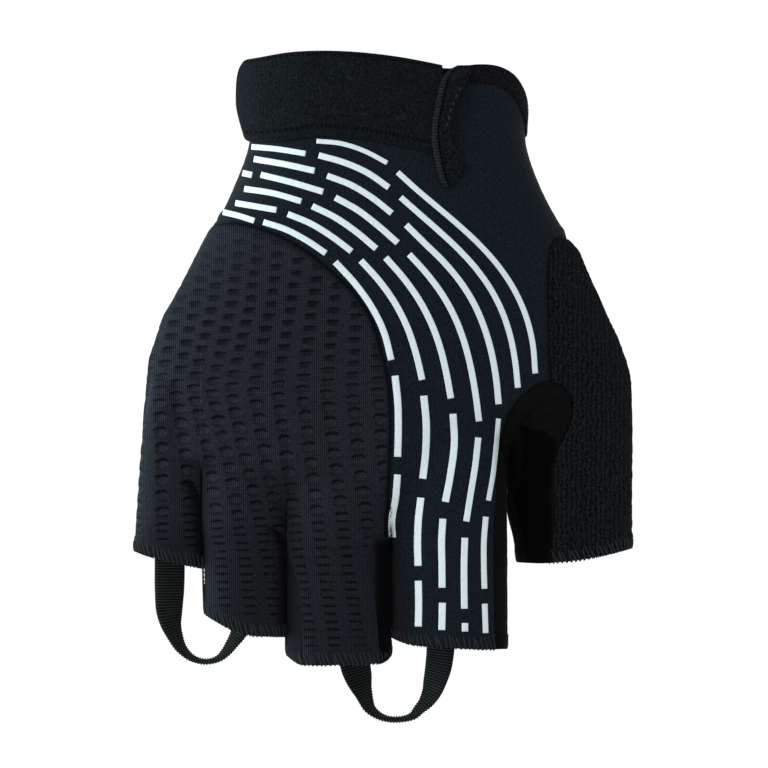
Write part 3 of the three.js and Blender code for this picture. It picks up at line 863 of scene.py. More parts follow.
def paint(obj, name, values):
    """Values of the outer skin kept on a panel's mesh, for its material. The inner skin gets none."""
    attribute = obj.data.attributes.new(name, "FLOAT", "POINT")
    full = np.zeros(len(obj.data.vertices), np.float32)
    full[:len(values)] = values
    attribute.data.foreach_set("value", full)


def settle(obj, slot, *nodes):
    """A piece takes its CAD node's place. The slot is not used."""
    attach(obj, "root")
    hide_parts(*nodes)
    return obj


# The cloth between thumb and index finger: a strip along its arch, and above it a hollow with creases, with
# painted shade in the hollow

HOLLOW_PX = [
    (519, 426), (532, 429), (546, 433), (556, 440), (553, 470), (552, 500), (553, 530), (549, 561),
    (549, 600), (514, 600), (511, 540), (509, 497), (516, 474), (518, 445),
]
CREASES_PX = [
    [(519, 425), (532, 412), (548, 402), (562, 398)],
    [(520, 431), (535, 424), (549, 416), (563, 410)],
    [(524, 438), (538, 436), (550, 432), (560, 424)],
]
CREASE_WIDTH = 0.6
HOLLOW_SINK = 0.9
CREASE_SINK = 0.55


def thumb_hollow(part):
    """How far each point lies in the hollow beside the thumb, and how near a crease above it."""
    view = seen(part.points)
    deep = ease((region_distance(view, closed_path(HOLLOW_PX)) + 0.4) / 1.6)
    creases = [line_distance(view, smooth_path(from_pixels(line), 0.5)) for line in CREASES_PX]
    return deep, bump(np.min(creases, axis=0), CREASE_WIDTH)


def carved_hollow(part):
    """The lift, below zero, of the arch's cloth in its hollow and creases."""
    deep, crease = thumb_hollow(part)
    return -HOLLOW_SINK * deep - CREASE_SINK * crease


# The dimpled knit: columns of hollows, read off the photograph at six heights

KNIT_ROWS_PX = np.array((150.0, 250.0, 305.0, 390.0, 460.0, 560.0, 650.0, 740.0))
KNIT_COLUMNS_PX = np.array([
    # the odd columns from the little finger's side, at each height
    (205, 195, 178, 159, 162, 163, 164, 165),
    (228, 222, 213, 193, 211, 221, 231, 240),
    (262, 258, 250.7, 230.4, 246, 269, 280, 290),
    (303, 300, 291.4, 277.5, 287, 299, 311, 322),
    (345, 343, 334.3, 327, 335, 347, 361, 374),
    (391, 388, 380, 377.5, 383, 396, 410, 424),
], float)
ROW_PITCH_PX = (12.4, 15.9)
PITCH_TURN_PX = (385.0, 430.0)
NOTCH_SIDES_PX = (372.0, 378.0, 389.5, 392.0)
NOTCH_TOP_PX = 536.0
KNIT_SPAN_PX = (100.0, 760.0)
SLANT = 0.06
SLANT_FROM_PX = 260.0
SLANT_ROWS_PX = (300.0, 420.0, 520.0, 580.0)


def wall_shade(skin, gap):
    """How dark the wall between two fingers lies: near its gap, and in the notch beside the index finger."""
    px, py = pixels_of(skin.points)
    near = np.exp(-np.abs(skin.points[:, 0] - GAP_CENTRES[gap]) / 0.5)
    if WALLS[gap][2] is MIDDLE_INDEX_PX:
        notch = window(px, NOTCH_SIDES_PX) * ease((py - NOTCH_TOP_PX) / 10)
        near = np.maximum(near, 0.95 * notch)
    return near


def knit_places(px, py):
    """The knit's running column number, its columns' distance, its running row number, its rows' distance."""
    odd = np.stack([np.interp(py, KNIT_ROWS_PX, column) for column in KNIT_COLUMNS_PX])
    odd = np.concatenate([[2 * odd[0] - odd[1]], odd, [2 * odd[-1] - odd[-2]]])
    columns = np.empty((2 * len(odd) - 1, len(px)))
    columns[::2] = odd
    columns[1::2] = (odd[:-1] + odd[1:]) / 2
    columns = columns[:-1]
    widths = np.diff(columns, axis=0)
    shares = (px - columns[:-1]) / widths
    shares[1:] = np.maximum(shares[1:], 0)
    shares[:-1] = np.minimum(shares[:-1], 1)
    number = shares.sum(0)
    between = np.clip(number - 0.5, 0, len(widths) - 1.001)
    low = between.astype(int)
    each = np.arange(len(px))
    width = widths[low, each] * (1 - between + low) + widths[low + 1, each] * (between - low)
    heights = np.arange(*KNIT_SPAN_PX)
    turned = ease((heights - PITCH_TURN_PX[0]) / (PITCH_TURN_PX[1] - PITCH_TURN_PX[0]))
    pitches = ROW_PITCH_PX[0] + (ROW_PITCH_PX[1] - ROW_PITCH_PX[0]) * turned
    rows = np.concatenate([[0], np.cumsum(1 / pitches)[:-1]])
    slant = SLANT * (px - SLANT_FROM_PX) * window(py, SLANT_ROWS_PX)
    return number, width, np.interp(py + slant, heights, rows), np.interp(py, heights, pitches)


CREASES_BETWEEN_PX = [
    # down the line between two fingers: y, x
    ((478, 184), (481, 190), (487, 195), (498, 199), (513, 201), (530, 203), (547, 204.5), (640, 204.5)),
    ((524, 272), (531, 277), (538, 282.5), (550, 286), (600, 287), (700, 287)),
]
CREASE_REACH_PX = 15.0


def crease_shade(skin):
    """How dark the cloth lies where a finger turns in beside its neighbour."""
    px, py = pixels_of(skin.points)
    shade = np.zeros(len(px))
    for rows in CREASES_BETWEEN_PX:
        rows = np.array(rows, float)
        off = px - np.interp(py, rows[:, 0], rows[:, 1])
        start = ease((py - rows[0, 0] + 2) / 10)
        left = ease(1 + off / CREASE_REACH_PX) ** 0.75 * (off <= 0)
        right = np.exp(-np.maximum(off, 0) / 1.2) * (off > 0)
        shade = np.maximum(shade, start * (left + right))
    return shade


HOLLOW_HALF_WIDTH_PX = 5.8
HOLLOW_HALF_HEIGHT_PX = (2.5, 4.9, 3.7)
HOLLOW_DEPTH = 0.42
# Start and reach, down the photograph, of the hollows' growing tall, flatter, rung-like and pale. The last runs
# aslant, along the row and half the column, away from the corner in which the hollows are faint.
TALL_PX = (365.0, 60.0)
FLATTER_PX = (480.0, 60.0)
FINGER_PX = (490.0, 70.0)
LENS_PX = (330.0, 80.0)
FAINT_CORNER_PX = (330.0, 110.0)
STRIPE_SHADE = 0.9


def knit_relief(skin):
    """The knit's hollows in millimetres, and the fields from which its material draws them."""
    px, py = pixels_of(skin.points)
    number, width, row, pitch = knit_places(px, py)
    tall, flatter, finger, past_lens, clear = (
        ease((at - start) / reach) for at, (start, reach) in (
            (py, TALL_PX), (py, FLATTER_PX), (py, FINGER_PX), (py, LENS_PX), (py + px / 2, FAINT_CORNER_PX),
        )
    )
    flat, round_, low = HOLLOW_HALF_HEIGHT_PX
    half_height = flat + (round_ - flat) * tall + (low - round_) * flatter
    nearest = np.round(number)
    dx = (number - nearest) * width
    row_here = row + 0.5 * (nearest % 2)
    dy = (row_here - np.round(row_here)) * pitch
    oval = np.sqrt((dx / HOLLOW_HALF_WIDTH_PX) ** 2 + (dy / half_height) ** 2)
    bowl = 1 - ease((oval - 0.55) / 0.6)
    facing = np.clip(-skin.fields["ny"] * 1.8, 0, 1)
    fade = (0.30 + 0.70 * clear) * (0.30 + 0.70 * facing)
    relief = -HOLLOW_DEPTH * bowl * (1 - 0.3 * dy / half_height) * (1 - 0.75 * finger) * fade
    return relief, {
        "column": number, "width": width, "row": row, "pitch": pitch,
        "half_height": half_height, "fade": fade, "finger": finger, "lens": 1 - past_lens,
        # shade: painted shade where a finger turns in beside its neighbour, and a dark line along the seam to
        # the stripe
        "shade": np.maximum(crease_shade(skin), STRIPE_SHADE * bump(skin.fields["stripe"], 0.7)),
    }


def knit_cloth(skin):
    """The dimpled back panel: its skin split finer to carry the relief."""
    seams = [("palm", -1), ("stripe", 1), ("side0", -1), ("side1", -1), ("side2", -1)]
    coarse = cut(skin, seams)
    part = finer(coarse)
    normal = part.normal()
    base = part.points - normal * sunk(part, seams)[:, None]
    relief, fields = knit_relief(part)
    edge = np.min([np.abs(part.fields[name]) for name, _ in seams], axis=0)
    keep = ease((np.minimum(edge, part.fields["hem"] - HEM_TALL + 0.1) - 0.3) / 1.2)
    fields["fade"] = fields["fade"] * keep
    outer = base + normal * (relief * keep)[:, None]
    below = base - normal * CLOTH_WALL
    obj = object_from("knit_back", *walled_finer(outer, below, part.triangles, coarse.triangles))
    for name, values in fields.items():
        paint(obj, name, values)
    return settle(obj, "knit_mesh", "back_mesh_panel")


def plain_panel(skin, name, slot, node, seams, fine, fine_scale, splits=0, proud=0.0, carve=None):
    """A panel of plainer cloth, with fine noise on its outer skin."""
    part = cut(skin, seams)
    for _ in range(splits):
        part = finer(part)
    normal = part.normal()
    lift = proud - sunk(part, seams)
    if carve:
        lift += carve(part)
    base = part.points + normal * lift[:, None]
    outer = base + normal * (fine * wave_noise(part.points, fine_scale, 2, 11))[:, None]
    obj = object_from(name, *walled(outer, base - normal * CLOTH_WALL, part.triangles))
    return settle(obj, slot, node), outer, part


# Trims that lie on the cloth. Their places come from rays cast at the skin.


def tree_of(points, triangles):
    """A surface that rays can be cast at, in metres."""
    return BVHTree.FromPolygons((points * MM).tolist(), triangles.tolist())


EYE = Vector((CAMERA_X * MM, -CAMERA_DISTANCE * MM, CAMERA_Z * MM))


def cast_from_camera(tree, places):
    """Where the camera sees places of the wrist's plane on a surface: points, normals and which were met."""
    hits = np.zeros((len(places), 3))
    normals = np.tile((0.0, -1.0, 0.0), (len(places), 1))
    found = np.zeros(len(places), bool)
    for k, (x, z) in enumerate(places):
        aim = (Vector((x * MM, 0, z * MM)) - EYE).normalized()
        point, normal, _, _ = tree.ray_cast(EYE, aim)
        hits[k] = (x, 0, z)
        if point is None:
            continue
        found[k] = True
        hits[k] = np.array(point) / MM
        normals[k] = np.array(normal if normal.dot(aim) < 0 else -normal)
    return hits, normals, found


def cast_outward(tree, places, directions):
    """The skin met on the way out of the hand from each place inside it."""
    hits = np.array(places, float)
    normals = np.array(directions, float)
    for k, (place, direction) in enumerate(zip(places, directions)):
        aim = Vector(direction).normalized()
        point, normal, _, _ = tree.ray_cast(Vector(place) * MM, aim)
        if point is None:
            continue
        hits[k] = np.array(point) / MM
        normals[k] = np.array(normal if normal.dot(aim) > 0 else -normal)
    return hits, normals


def grid_solid(top, bottom):
    """A closed solid between two grids of points."""
    rows, columns = top.shape[:2]
    n = rows * columns
    index = np.arange(n).reshape(rows, columns)
    quads = np.stack([index[:-1, :-1], index[:-1, 1:], index[1:, 1:], index[1:, :-1]], -1).reshape(-1, 4)
    rim = np.concatenate([index[0, :], index[1:, -1], index[-1, -2::-1], index[-2:0:-1, 0]])
    turned = np.roll(rim, -1)
    sides = np.stack([rim, rim + n, turned + n, turned], 1)
    faces = np.concatenate([quads, quads[:, ::-1] + n, sides])
    return np.concatenate([top.reshape(-1, 3), bottom.reshape(-1, 3)]), faces


THREAD_SIDES = 6
THREAD_TIP = 0.55


def thread(path, normals, width, height):
    """A closed, flattened round thread along a path on a surface."""
    path = np.asarray(path, float)
    along = unit(np.gradient(path, axis=0))
    across = unit(np.cross(along, normals))
    up = np.cross(across, along)
    sides = THREAD_SIDES
    angle = np.arange(sides) * 2 * math.pi / sides
    thick = np.ones(len(path))
    thick[[0, -1]] = THREAD_TIP
    rings = path[:, None] + across[:, None] * (thick[:, None] * np.cos(angle) * width / 2)[:, :, None]
    rings = rings + up[:, None] * (thick[:, None] * np.sin(angle) * height / 2)[:, :, None]
    i = np.arange(sides)
    j = (i + 1) % sides
    count = len(path) * sides
    last = count - sides
    faces = []
    for r in range(0, last, sides):
        faces += np.stack([r + i, r + j, r + sides + j, r + sides + i], 1).tolist()
    faces += np.stack([np.full(sides, count), j, i], 1).tolist()
    faces += np.stack([np.full(sides, count + 1), last + i, last + j], 1).tolist()
    return np.concatenate([rings.reshape(-1, 3), path[:1], path[-1:]]), faces


def joined(name, parts):
    """One object from several closed meshes."""
    vertices, faces = [], []
    offset = 0
    for v, f in parts:
        vertices.append(v)
        faces += [[int(k) + offset for k in face] for face in f]
        offset += len(v)
    return object_from(name, np.concatenate(vertices), faces)


def at_length(line, lengths, values=None):
    """A line's points, or values kept along it, at running lengths of it."""
    along = stretch_along(line)
    values = line if values is None else values
    return np.stack([np.interp(lengths, along, column) for column in values.T], 1)


# Around the wrist: the mouth's edge, its binding, the strap and its end

WRIST_HALF_WIDTH = 0.546 * LITTLE_REACH
WRIST_HALF_DEPTH = 1.05 * HAND_DEPTH
THUMB_SIDE_EDGE = np.array([
    # depth, height of the mouth's edge at the thumb's side
    (-21, -1.8), (-16, -1.9), (-13, -3.5), (-9.5, -6.2), (-5, -9.9), (0, -13.5), (5, -12),
    (10, -8.5), (15, -6), (21, -5),
])
BINDING_PROUD = 0.6
BINDING_BACK = 1.5
BINDING_RIB = 0.62
BINDING_RIB_RISE = 0.05
BINDING_GROOVE = 0.12
NOTCH_DEPTH = 1.1
MOUTH_DIPS = np.array([(-2.0, 0.0), (-0.55, 0.0), (-0.2, 0.22), (0.2, 0.72), (0.6, 1.0), (2.0, 1.0)])


def mouth_edge(x, y):
    """The height of the mouth's edge: it dips towards the palm, and more in a notch at the thumb's side."""
    dip = MOUTH_DIP * np.interp(y / HAND_DEPTH, MOUTH_DIPS[:, 0], MOUTH_DIPS[:, 1])
    side = spline(THUMB_SIDE_EDGE[:, 0], THUMB_SIDE_EDGE[:, 1], y)
    share = ease((x + 4) / 12)
    tuck = bump(x - 14.5, 4.5) * (y < 0)
    return -dip * (1 - share) + side * share - NOTCH_DEPTH * tuck


def wrist_turn(x, y):
    """The turn about the wrist's middle, from the little finger's side over the back of the hand."""
    return np.arctan2(-y / WRIST_HALF_DEPTH, -x / WRIST_HALF_WIDTH)


def wrist_outline(turn):
    """The places of the wrist's outline at turns about its middle."""
    c, s = np.cos(turn), np.sin(turn)
    size = (np.abs(c) ** BODY_SQUARENESS + np.abs(s) ** BODY_SQUARENESS) ** (-1 / BODY_SQUARENESS)
    return -c * size * WRIST_HALF_WIDTH, -s * size * WRIST_HALF_DEPTH


def wrist_outward(x, y):
    """The level directions out of the wrist at places of its outline."""
    return np.stack([x / WRIST_HALF_WIDTH**2, y / WRIST_HALF_DEPTH**2, 0 * x], -1)


def wrist_round():
    """The wrist's outline, unrolled: turns, running lengths and the mouth edge's heights."""
    turn = np.linspace(-math.pi, math.pi, 721)
    x, y = wrist_outline(turn)
    return turn, stretch_along(np.stack([x, y], 1)), mouth_edge(x, y)


def mouth_distance(points):
    """How far each point lies below the mouth's edge, measured on the cloth."""
    turn, length, edge = wrist_round()
    line = np.stack([length, edge], 1)[::3]
    around = np.interp(wrist_turn(points[:, 0], points[:, 1]), turn, length)
    place = np.stack([around, points[:, 2]], 1)
    gap = np.full(len(points), 100.0)
    near = points[:, 2] > -40
    gap[near] = line_distance(place[near], line)
    return np.where(points[:, 2] < np.interp(around, length, edge), gap, -gap)


def binding(skin):
    """The tape round the mouth, rounded and ribbed, with a groove near its lower edge."""
    band = skin.clipped(skin.fields["mouth"])
    band = band.clipped(BINDING_WIDTH - band.fields["mouth"])
    across = band.fields["mouth"] / BINDING_WIDTH * 2 - 1
    rounded = np.sqrt(np.maximum(0, 1 - np.abs(across) ** 6))
    ribs = BINDING_RIB_RISE * np.cos(band.fields["mouth"] / BINDING_RIB * 2 * math.pi)
    proud = BINDING_PROUD * (0.35 + 0.65 * rounded) + ribs - BINDING_GROOVE * bump(across - 0.72, 0.08)
    outer = band.points + band.normal() * proud[:, None]
    inner = band.points - band.normal() * BINDING_BACK
    obj = object_from("cuff_edge", *walled(outer, inner, band.triangles))
    return settle(obj, "edge_binding", "cuff_binding")


# The strap's edges on the back of the hand, as shares of littleReach across and of its width up
STRAP_TOP = np.array([
    (-0.95, 0.03), (-0.55, 0.06), (-0.38, 0.142), (-0.16, 0.150), (-0.026, 0.114),
    (0.048, 0.084), (0.127, 0.042), (0.206, -0.006), (0.30, -0.07),
])
STRAP_BOTTOM = np.array([
    (-0.95, -0.74), (-0.61, -0.77), (-0.575, -0.84), (-0.545, -0.895), (-0.488, -0.905), (-0.40, -0.885),
    (-0.294, -0.840), (-0.20, -0.843), (-0.10, -0.870), (0.01, -0.925), (0.13, -0.998), (0.21, -1.045),
    (0.30, -1.06),
])
STRAP_START = 2.10
STRAP_TAIL_X = -17.0
STRAP_TAIL_ROUND = 7.5
STRAP_STEP = 0.011
STRAP_STOPS = 91
STRAP_CAST_TOP = -1.5
STRAP_BACK = 0.25
STRAP_RIM = 0.55
STRAP_SWELL = 2.5
STRAP_STITCH = 1.35
STRAP_STITCH_LENGTH = 0.75
STITCH_INSETS = (0.95, 2.4)
STITCH_DENT = 0.12
STITCH_HOLE = 0.35
STITCH_BAND = 0.34
STRAP_THREAD = (0.42, 0.30)


def strap_edges(x, y):
    """The strap's upper and lower edge at a place round the wrist: read off the photograph on the back."""
    if y > 0:
        in_round = max(0.0, (x - (STRAP_TAIL_X - STRAP_TAIL_ROUND)) / STRAP_TAIL_ROUND)
        tuck = STRAP_TAIL_ROUND * (1 - math.sqrt(max(0.0, 1 - in_round**2)))
        return 0.02 * STRAP_WIDTH - tuck, -0.88 * STRAP_WIDTH + tuck
    across = seen(np.array([[x, y, 0.0]]))[0, 0] / LITTLE_REACH
    heights = (spline(edge[:, 0], edge[:, 1], across) * STRAP_WIDTH for edge in (STRAP_TOP, STRAP_BOTTOM))
    return [unseen((across, height), y)[1] for height in heights]


def wrist_sweep(tree, columns):
    """The strap's outer and inner grids of points. Each column is a turn with its heights and their lifts."""
    outer, inner = [], []
    for turn, heights, lifts in columns:
        x, y = wrist_outline(turn)
        count = len(heights)
        places = np.column_stack([np.tile((x / 2, y / 2), (count, 1)), np.minimum(heights, STRAP_CAST_TOP)])
        hits, normals = cast_outward(tree, places, np.tile(wrist_outward(x, y), (count, 1)))
        hits[:, 2] = heights
        normals = unit(normals * (1, 1, 0))
        inner.append(hits + normals * STRAP_BACK)
        outer.append(hits + normals * lifts[:, None])
    return np.array(outer), np.array(inner)


def strap(tree):
    """The closed strap, crowned and dented along its stitches, from the cuff's slit to the palm."""
    turn, length, _ = wrist_round()
    columns, darks = [], []
    turns = np.arange(STRAP_START, -math.pi, -STRAP_STEP)
    xs, ys = wrist_outline(turns)
    starts = np.stack([xs / 2, ys / 2, np.full(len(xs), -STRAP_WIDTH / 2)], 1)
    hits, _ = cast_outward(tree, starts, wrist_outward(xs, ys))
    share = np.linspace(-1, 1, STRAP_STOPS)
    for t, x, y, hit in zip(turns, xs, ys, hits):
        if y > 0 and x > STRAP_TAIL_X - 0.05:
            break
        top, bottom = strap_edges(x, y) if y > 0 else strap_edges(hit[0], hit[1] - 1.0)
        heights = (top + bottom) / 2 + share * (top - bottom) / 2
        swell = (STRAP_SWELL + 0.6 * bump(t, 0.45)) * (1 - 0.30 * bump(t, 0.45) * ease(-share / 0.9))
        lifts = STRAP_RIM + swell * np.maximum(0, 1 - np.abs(share) ** 3.2) ** 0.55
        hole = bump((np.interp(t, turn, length) / STRAP_STITCH + 0.5) % 1 - 0.5, 0.16)
        # dark is painted shade in the dents along the stitches, deepest at their holes
        dark = 0 * share
        for line in (top - STITCH_INSETS[0], bottom + STITCH_INSETS[1]):
            near = bump(heights - line, STITCH_BAND)
            lifts -= (STITCH_DENT + STITCH_HOLE * hole) * near
            dark = np.maximum(dark, near * (0.30 + 0.90 * hole))
        darks.append(np.minimum(1.0, dark))
        columns.append((t, heights, lifts))
    outer, inner = wrist_sweep(tree, columns)
    obj = object_from("strap", *grid_solid(outer, inner))
    paint(obj, "dark", np.concatenate(darks))
    return settle(obj, "strap_pile", "wrist_strap"), outer


def strap_stitches(outer):
    """Running stitches along the strap's two long edges, on the back of the hand and round its side."""
    parts = []
    for heights in (outer[:, -1, 2] - STITCH_INSETS[0], outer[:, 0, 2] + STITCH_INSETS[1]):
        line = np.array([
            [np.interp(z, column[:, 2], column[:, k]) for k in range(3)] for z, column in zip(heights, outer)
        ])
        normals = unit(wrist_outward(line[:, 0], line[:, 1]))
        for start in np.arange(1.0, stretch_along(line)[-1] - 2, STRAP_STITCH):
            lengths = np.linspace(start, start + STRAP_STITCH_LENGTH, 4)
            up = at_length(line, lengths, normals)
            parts.append(thread(at_length(line, lengths) - up * 0.02, up, *STRAP_THREAD))
    return parts


LIMB_ROWS_PX = np.array([
    # row, left edge, right edge, lift in millimetres
    (65.5, 457, 473, 0.6), (70, 448.5, 472, 1.5), (76, 442.5, 468.5, 2.6), (82, 439.5, 465, 3.1),
    (88, 437.5, 462, 3.4), (96, 436, 458.2, 3.6), (106, 434, 454, 3.7), (118, 431.8, 450.5, 3.7),
    (129, 430.5, 448.5, 3.7),
    (138, 430.5, 449.5, 3.6), (147, 431.5, 453.5, 3.4), (152, 432.6, 457, 3.2), (160, 434.5, 462.5, 2.8),
    (169.5, 436.5, 460.5, 2.4), (178, 439, 456, 2.1), (183, 441, 451.5, 1.8), (186.5, 443.8, 447.5, 1.4),
])
ROLLED_EDGE = 1.5
TAPE_RIB = 0.8
LIMB_STITCH_ROWS_PX = (88.0, 130.0, 7.0)
LIMB_STITCH_PX = 3.6
LIMB_STITCH_INSET = 1.1
LIMB_STITCH_LIFT = 0.12
LIMB_THREAD = (0.40, 0.32)
TAPE_RIB_RISE = 0.09
PILE_MOTTLE = 0.10
GROOVE_DEPTH = 0.55
LIMB_STOPS = 61


def limb(tree):
    """The end of the cuff's binding, down to a tab: a rolled, ribbed edge and a band with stitches."""
    at = np.arange(LIMB_ROWS_PX[0, 0], LIMB_ROWS_PX[-1, 0] + 0.1, 0.5)
    left, right, lift = (spline(LIMB_ROWS_PX[:, 0], LIMB_ROWS_PX[:, k], at) for k in (1, 2, 3))
    share = np.linspace(-1, 1, LIMB_STOPS)
    half = (right - left)[:, None] / 2
    px = (left + right)[:, None] / 2 + half * share
    places = from_pixels(np.stack([px.ravel(), np.repeat(at, len(share))], 1))
    hits, normals, _ = cast_from_camera(tree, places)
    shape = (len(at), len(share), 3)
    hits, normals = hits.reshape(shape), normals.reshape(shape)
    rounded = np.maximum(0, 1 - np.abs(share) ** 5) ** 0.5
    at, lift = at[:, None], lift[:, None]
    on_strap = (1 - ease((at - 141) / 10)) * ease((0.6 - share) / 0.7) * ease((at - 70) / 10)
    floor = 0.2 * lift + on_strap * (3.0 - 0.2 * lift)
    rise = floor + (np.maximum(lift, floor + 1.0) - floor) * rounded
    from_left = (1 + share) * half * PIXEL
    from_right = (1 - share) * half * PIXEL
    rolled = 1 - ease((from_left - ROLLED_EDGE + 0.2) / 0.4)
    ribs = np.cos(at * PIXEL / TAPE_RIB * 2 * math.pi)
    rise -= GROOVE_DEPTH * bump(from_left - ROLLED_EDGE, 0.22)
    rise += rolled * TAPE_RIB_RISE * ribs
    mottle = wave_noise(hits.reshape(-1, 3), 0.9, 3, 23).reshape(shape[:2])
    rise += (1 - rolled) * PILE_MOTTLE * mottle
    rise -= 0.30 * bump(from_right - LIMB_STITCH_INSET, 0.25) * (at < 135)
    obj = object_from("cuff_tail", *grid_solid(hits + normals * rise[:, :, None], hits + normals * 0.3))
    # groove is painted shade in the groove beside the rolled edge, and rib is painted light on the crests of
    # its ribs
    groove = bump(from_left - ROLLED_EDGE - 0.05, 0.30) * (at > 70)
    paint(obj, "groove", groove.ravel())
    paint(obj, "rib", (rolled * (1 - groove) * (0.5 + 0.5 * ribs)).ravel())
    stitches = []
    column = (LIMB_STOPS - 1) * (1 - LIMB_STITCH_INSET / (right - left) / PIXEL)
    for start in np.arange(*LIMB_STITCH_ROWS_PX):
        places = np.linspace(start, start + LIMB_STITCH_PX, 5)
        row = np.interp(places, at[:, 0], np.arange(len(at))).astype(int)
        pick = np.clip(np.round(column[row]).astype(int), 0, LIMB_STOPS - 1)
        path = hits[row, pick] + normals[row, pick] * (rise[row, pick] + LIMB_STITCH_LIFT)[:, None]
        stitches.append(thread(path, normals[row, pick], *LIMB_THREAD))
    return settle(obj, "edge_binding", "cuff_binding"), stitches


# The printed dashes, the hem stitches and the pull loops

DASHES_PX = [
    # width, then the middle line
    (4.7, [(316.6, 141.0), (341.7, 143.6), (365.1, 151.3), (387.2, 162.9)]),
    (6.2, [(318.8, 155.3), (343.8, 162.4), (367.3, 172.7), (388.8, 187.5)]),
    (6.2, [(327.2, 175.7), (350.7, 184.8), (372.0, 197.6), (391.8, 213.2)]),
    (6.4, [(335.3, 197.5), (357.9, 210.2), (378.3, 225.9), (397.7, 242.9)]),
    (6.4, [(312.3, 206.1), (335.5, 217.6), (356.5, 232.1), (376.3, 248.7)]),
    (6.2, [(287.8, 214.0), (310.8, 223.6), (331.8, 236.5), (351.6, 251.4)]),
    (6.0, [(263.4, 222.0), (285.8, 229.4), (306.4, 240.2), (325.9, 253.2)]),
    (5.6, [(250.0, 146.6), (278.0, 149.2), (305.5, 153.6)]),
    (6.2, [(254.0, 159.0), (284.5, 164.2), (314.6, 170.8)]),
    (6.2, [(239.5, 172.4), (252.0, 175.0)]),
    (6.2, [(260.9, 174.7), (292.2, 182.5), (323.1, 191.8)]),
    (6.0, [(244.4, 188.8), (273.3, 193.3), (301.3, 201.3)]),
    (6.0, [(235.5, 203.0), (256.2, 206.5), (276.5, 210.0)]),
    (5.8, [(223.0, 212.0), (238.0, 215.6), (254.4, 220.8)]),
    (5.6, [
        (397.7, 172.3), (418.2, 190.8), (439.4, 208.7), (460.4, 226.7), (480.4, 245.6), (498.3, 265.9),
        (513.4, 288.4), (525.0, 313.6), (532.4, 341.8), (535.3, 373.4),
    ]),
    (5.9, [
        (400.7, 197.3), (420.0, 214.3), (439.3, 231.3), (458.0, 248.8), (475.0, 267.3), (489.6, 287.4),
        (501.2, 309.5), (509.6, 333.7), (514.9, 360.0), (517.9, 387.8),
    ]),
    (6.3, [
        (406.2, 224.9), (425.0, 243.5), (443.8, 262.0), (460.3, 281.8), (473.7, 303.2), (483.8, 326.4),
        (491.1, 351.1), (495.9, 377.1), (498.6, 404.2),
    ]),
    (6.3, [
        (409.2, 254.2), (427.6, 274.7), (443.3, 296.2), (455.6, 319.1), (464.6, 343.4), (471.0, 368.7),
        (475.6, 394.8), (479.0, 421.3),
    ]),
    (6.5, [
        (385.7, 257.6), (403.4, 277.9), (418.7, 299.4), (430.8, 322.3), (439.8, 346.6), (446.1, 372.2),
        (450.9, 398.4),
    ]),
    (6.5, [(360.9, 260.5), (379.5, 281.2), (395.1, 303.3), (407.2, 327.3), (415.8, 353.0), (422.2, 379.9)]),
    (6.5, [(335.3, 262.0), (354.8, 283.3), (371.3, 306.3), (383.8, 331.7), (391.3, 360.0)]),
    (7.0, [(395.0, 375.7), (397.8, 402.6), (398.3, 429.7), (397.6, 456.8)]),
    (7.2, [(423.8, 395.7), (426.2, 423.4), (425.7, 451.1), (422.8, 478.7)]),
    (7.0, [(453.0, 413.8), (454.3, 443.6), (450.8, 472.8), (445.4, 501.9)]),
    (6.2, [(478.3, 437.5), (475.2, 465.6), (470.7, 493.5), (466.3, 521.4)]),
    (4.8, [(498.4, 418.6), (496.1, 446.0), (493.1, 473.4), (488.4, 500.6)]),
    (3.0, [(517.4, 401.0), (515.4, 408.0)]),
    (6.8, [(397.5, 474.5), (395.6, 498.2), (391.8, 521.6), (393.2, 545.7)]),
    (7.1, [(420.9, 497.6), (418.4, 520.3), (417.6, 543.0), (418.1, 565.9)]),
    (6.9, [(442.9, 518.7), (441.6, 541.7), (442.0, 564.7), (442.1, 587.7)]),
    (6.6, [(464.9, 537.7), (464.1, 561.4), (464.1, 585.0), (464.4, 608.7)]),
    (5.6, [(485.8, 516.7), (483.9, 540.7), (483.8, 564.7), (484.4, 588.7)]),
    (2.6, [(496.0, 537.0), (496.0, 568.6)]),
    (7.0, [(418.3, 580.7), (418.7, 603.2), (418.3, 626.5)]),
    (7.0, [(442.4, 602.7), (441.8, 630.0)]),
    (6.4, [(465.0, 623.0), (465.0, 631.5)]),
    (5.6, [(484.7, 603.7), (485.6, 633.0)]),
    (2.6, [(496.2, 584.7), (497.5, 634.0)]),
]
PRINT_PROUD = 0.07
PRINT_BACK = 0.35
# On the little finger's side the dashes end where the cloth turns away
PRINT_SIDE_X = -10.0
PRINT_FACING = 0.15


def dashes(outer, panel):
    """The pale dashes, as thin skins of print on the panel that they are printed on."""
    tree = tree_of(outer, panel.triangles)
    parts = []
    for width, pixels in DASHES_PX:
        line = smooth_path(from_pixels(pixels), 0.4)
        along = unit(np.gradient(line, axis=0))
        across = np.stack([-along[:, 1], along[:, 0]], 1)
        share = np.linspace(-0.5, 0.5, 7) * width * PIXEL
        places = (line[:, None] + across[:, None] * share[None, :, None]).reshape(-1, 2)
        hits, normals, found = cast_from_camera(tree, places)
        shape = (len(line), len(share))
        hits = hits.reshape(*shape, 3)
        normals = normals.reshape(*shape, 3)
        turned = (normals[:, :, 1] > -PRINT_FACING) & (hits[:, :, 0] < PRINT_SIDE_X)
        found = (found.reshape(shape) & ~turned).all(1)
        starts = np.flatnonzero(found & ~np.roll(found, 1) | (found & (np.arange(len(found)) == 0)))
        for start in starts:
            end = start
            while end < len(found) and found[end]:
                end += 1
            if end - start < 3:
                continue
            h, n = hits[start:end], normals[start:end]
            parts.append(grid_solid(h + n * PRINT_PROUD, h - n * PRINT_BACK))
    return settle(joined("printed_dashes", parts), "printed_stretch", "back_stripe_panel")


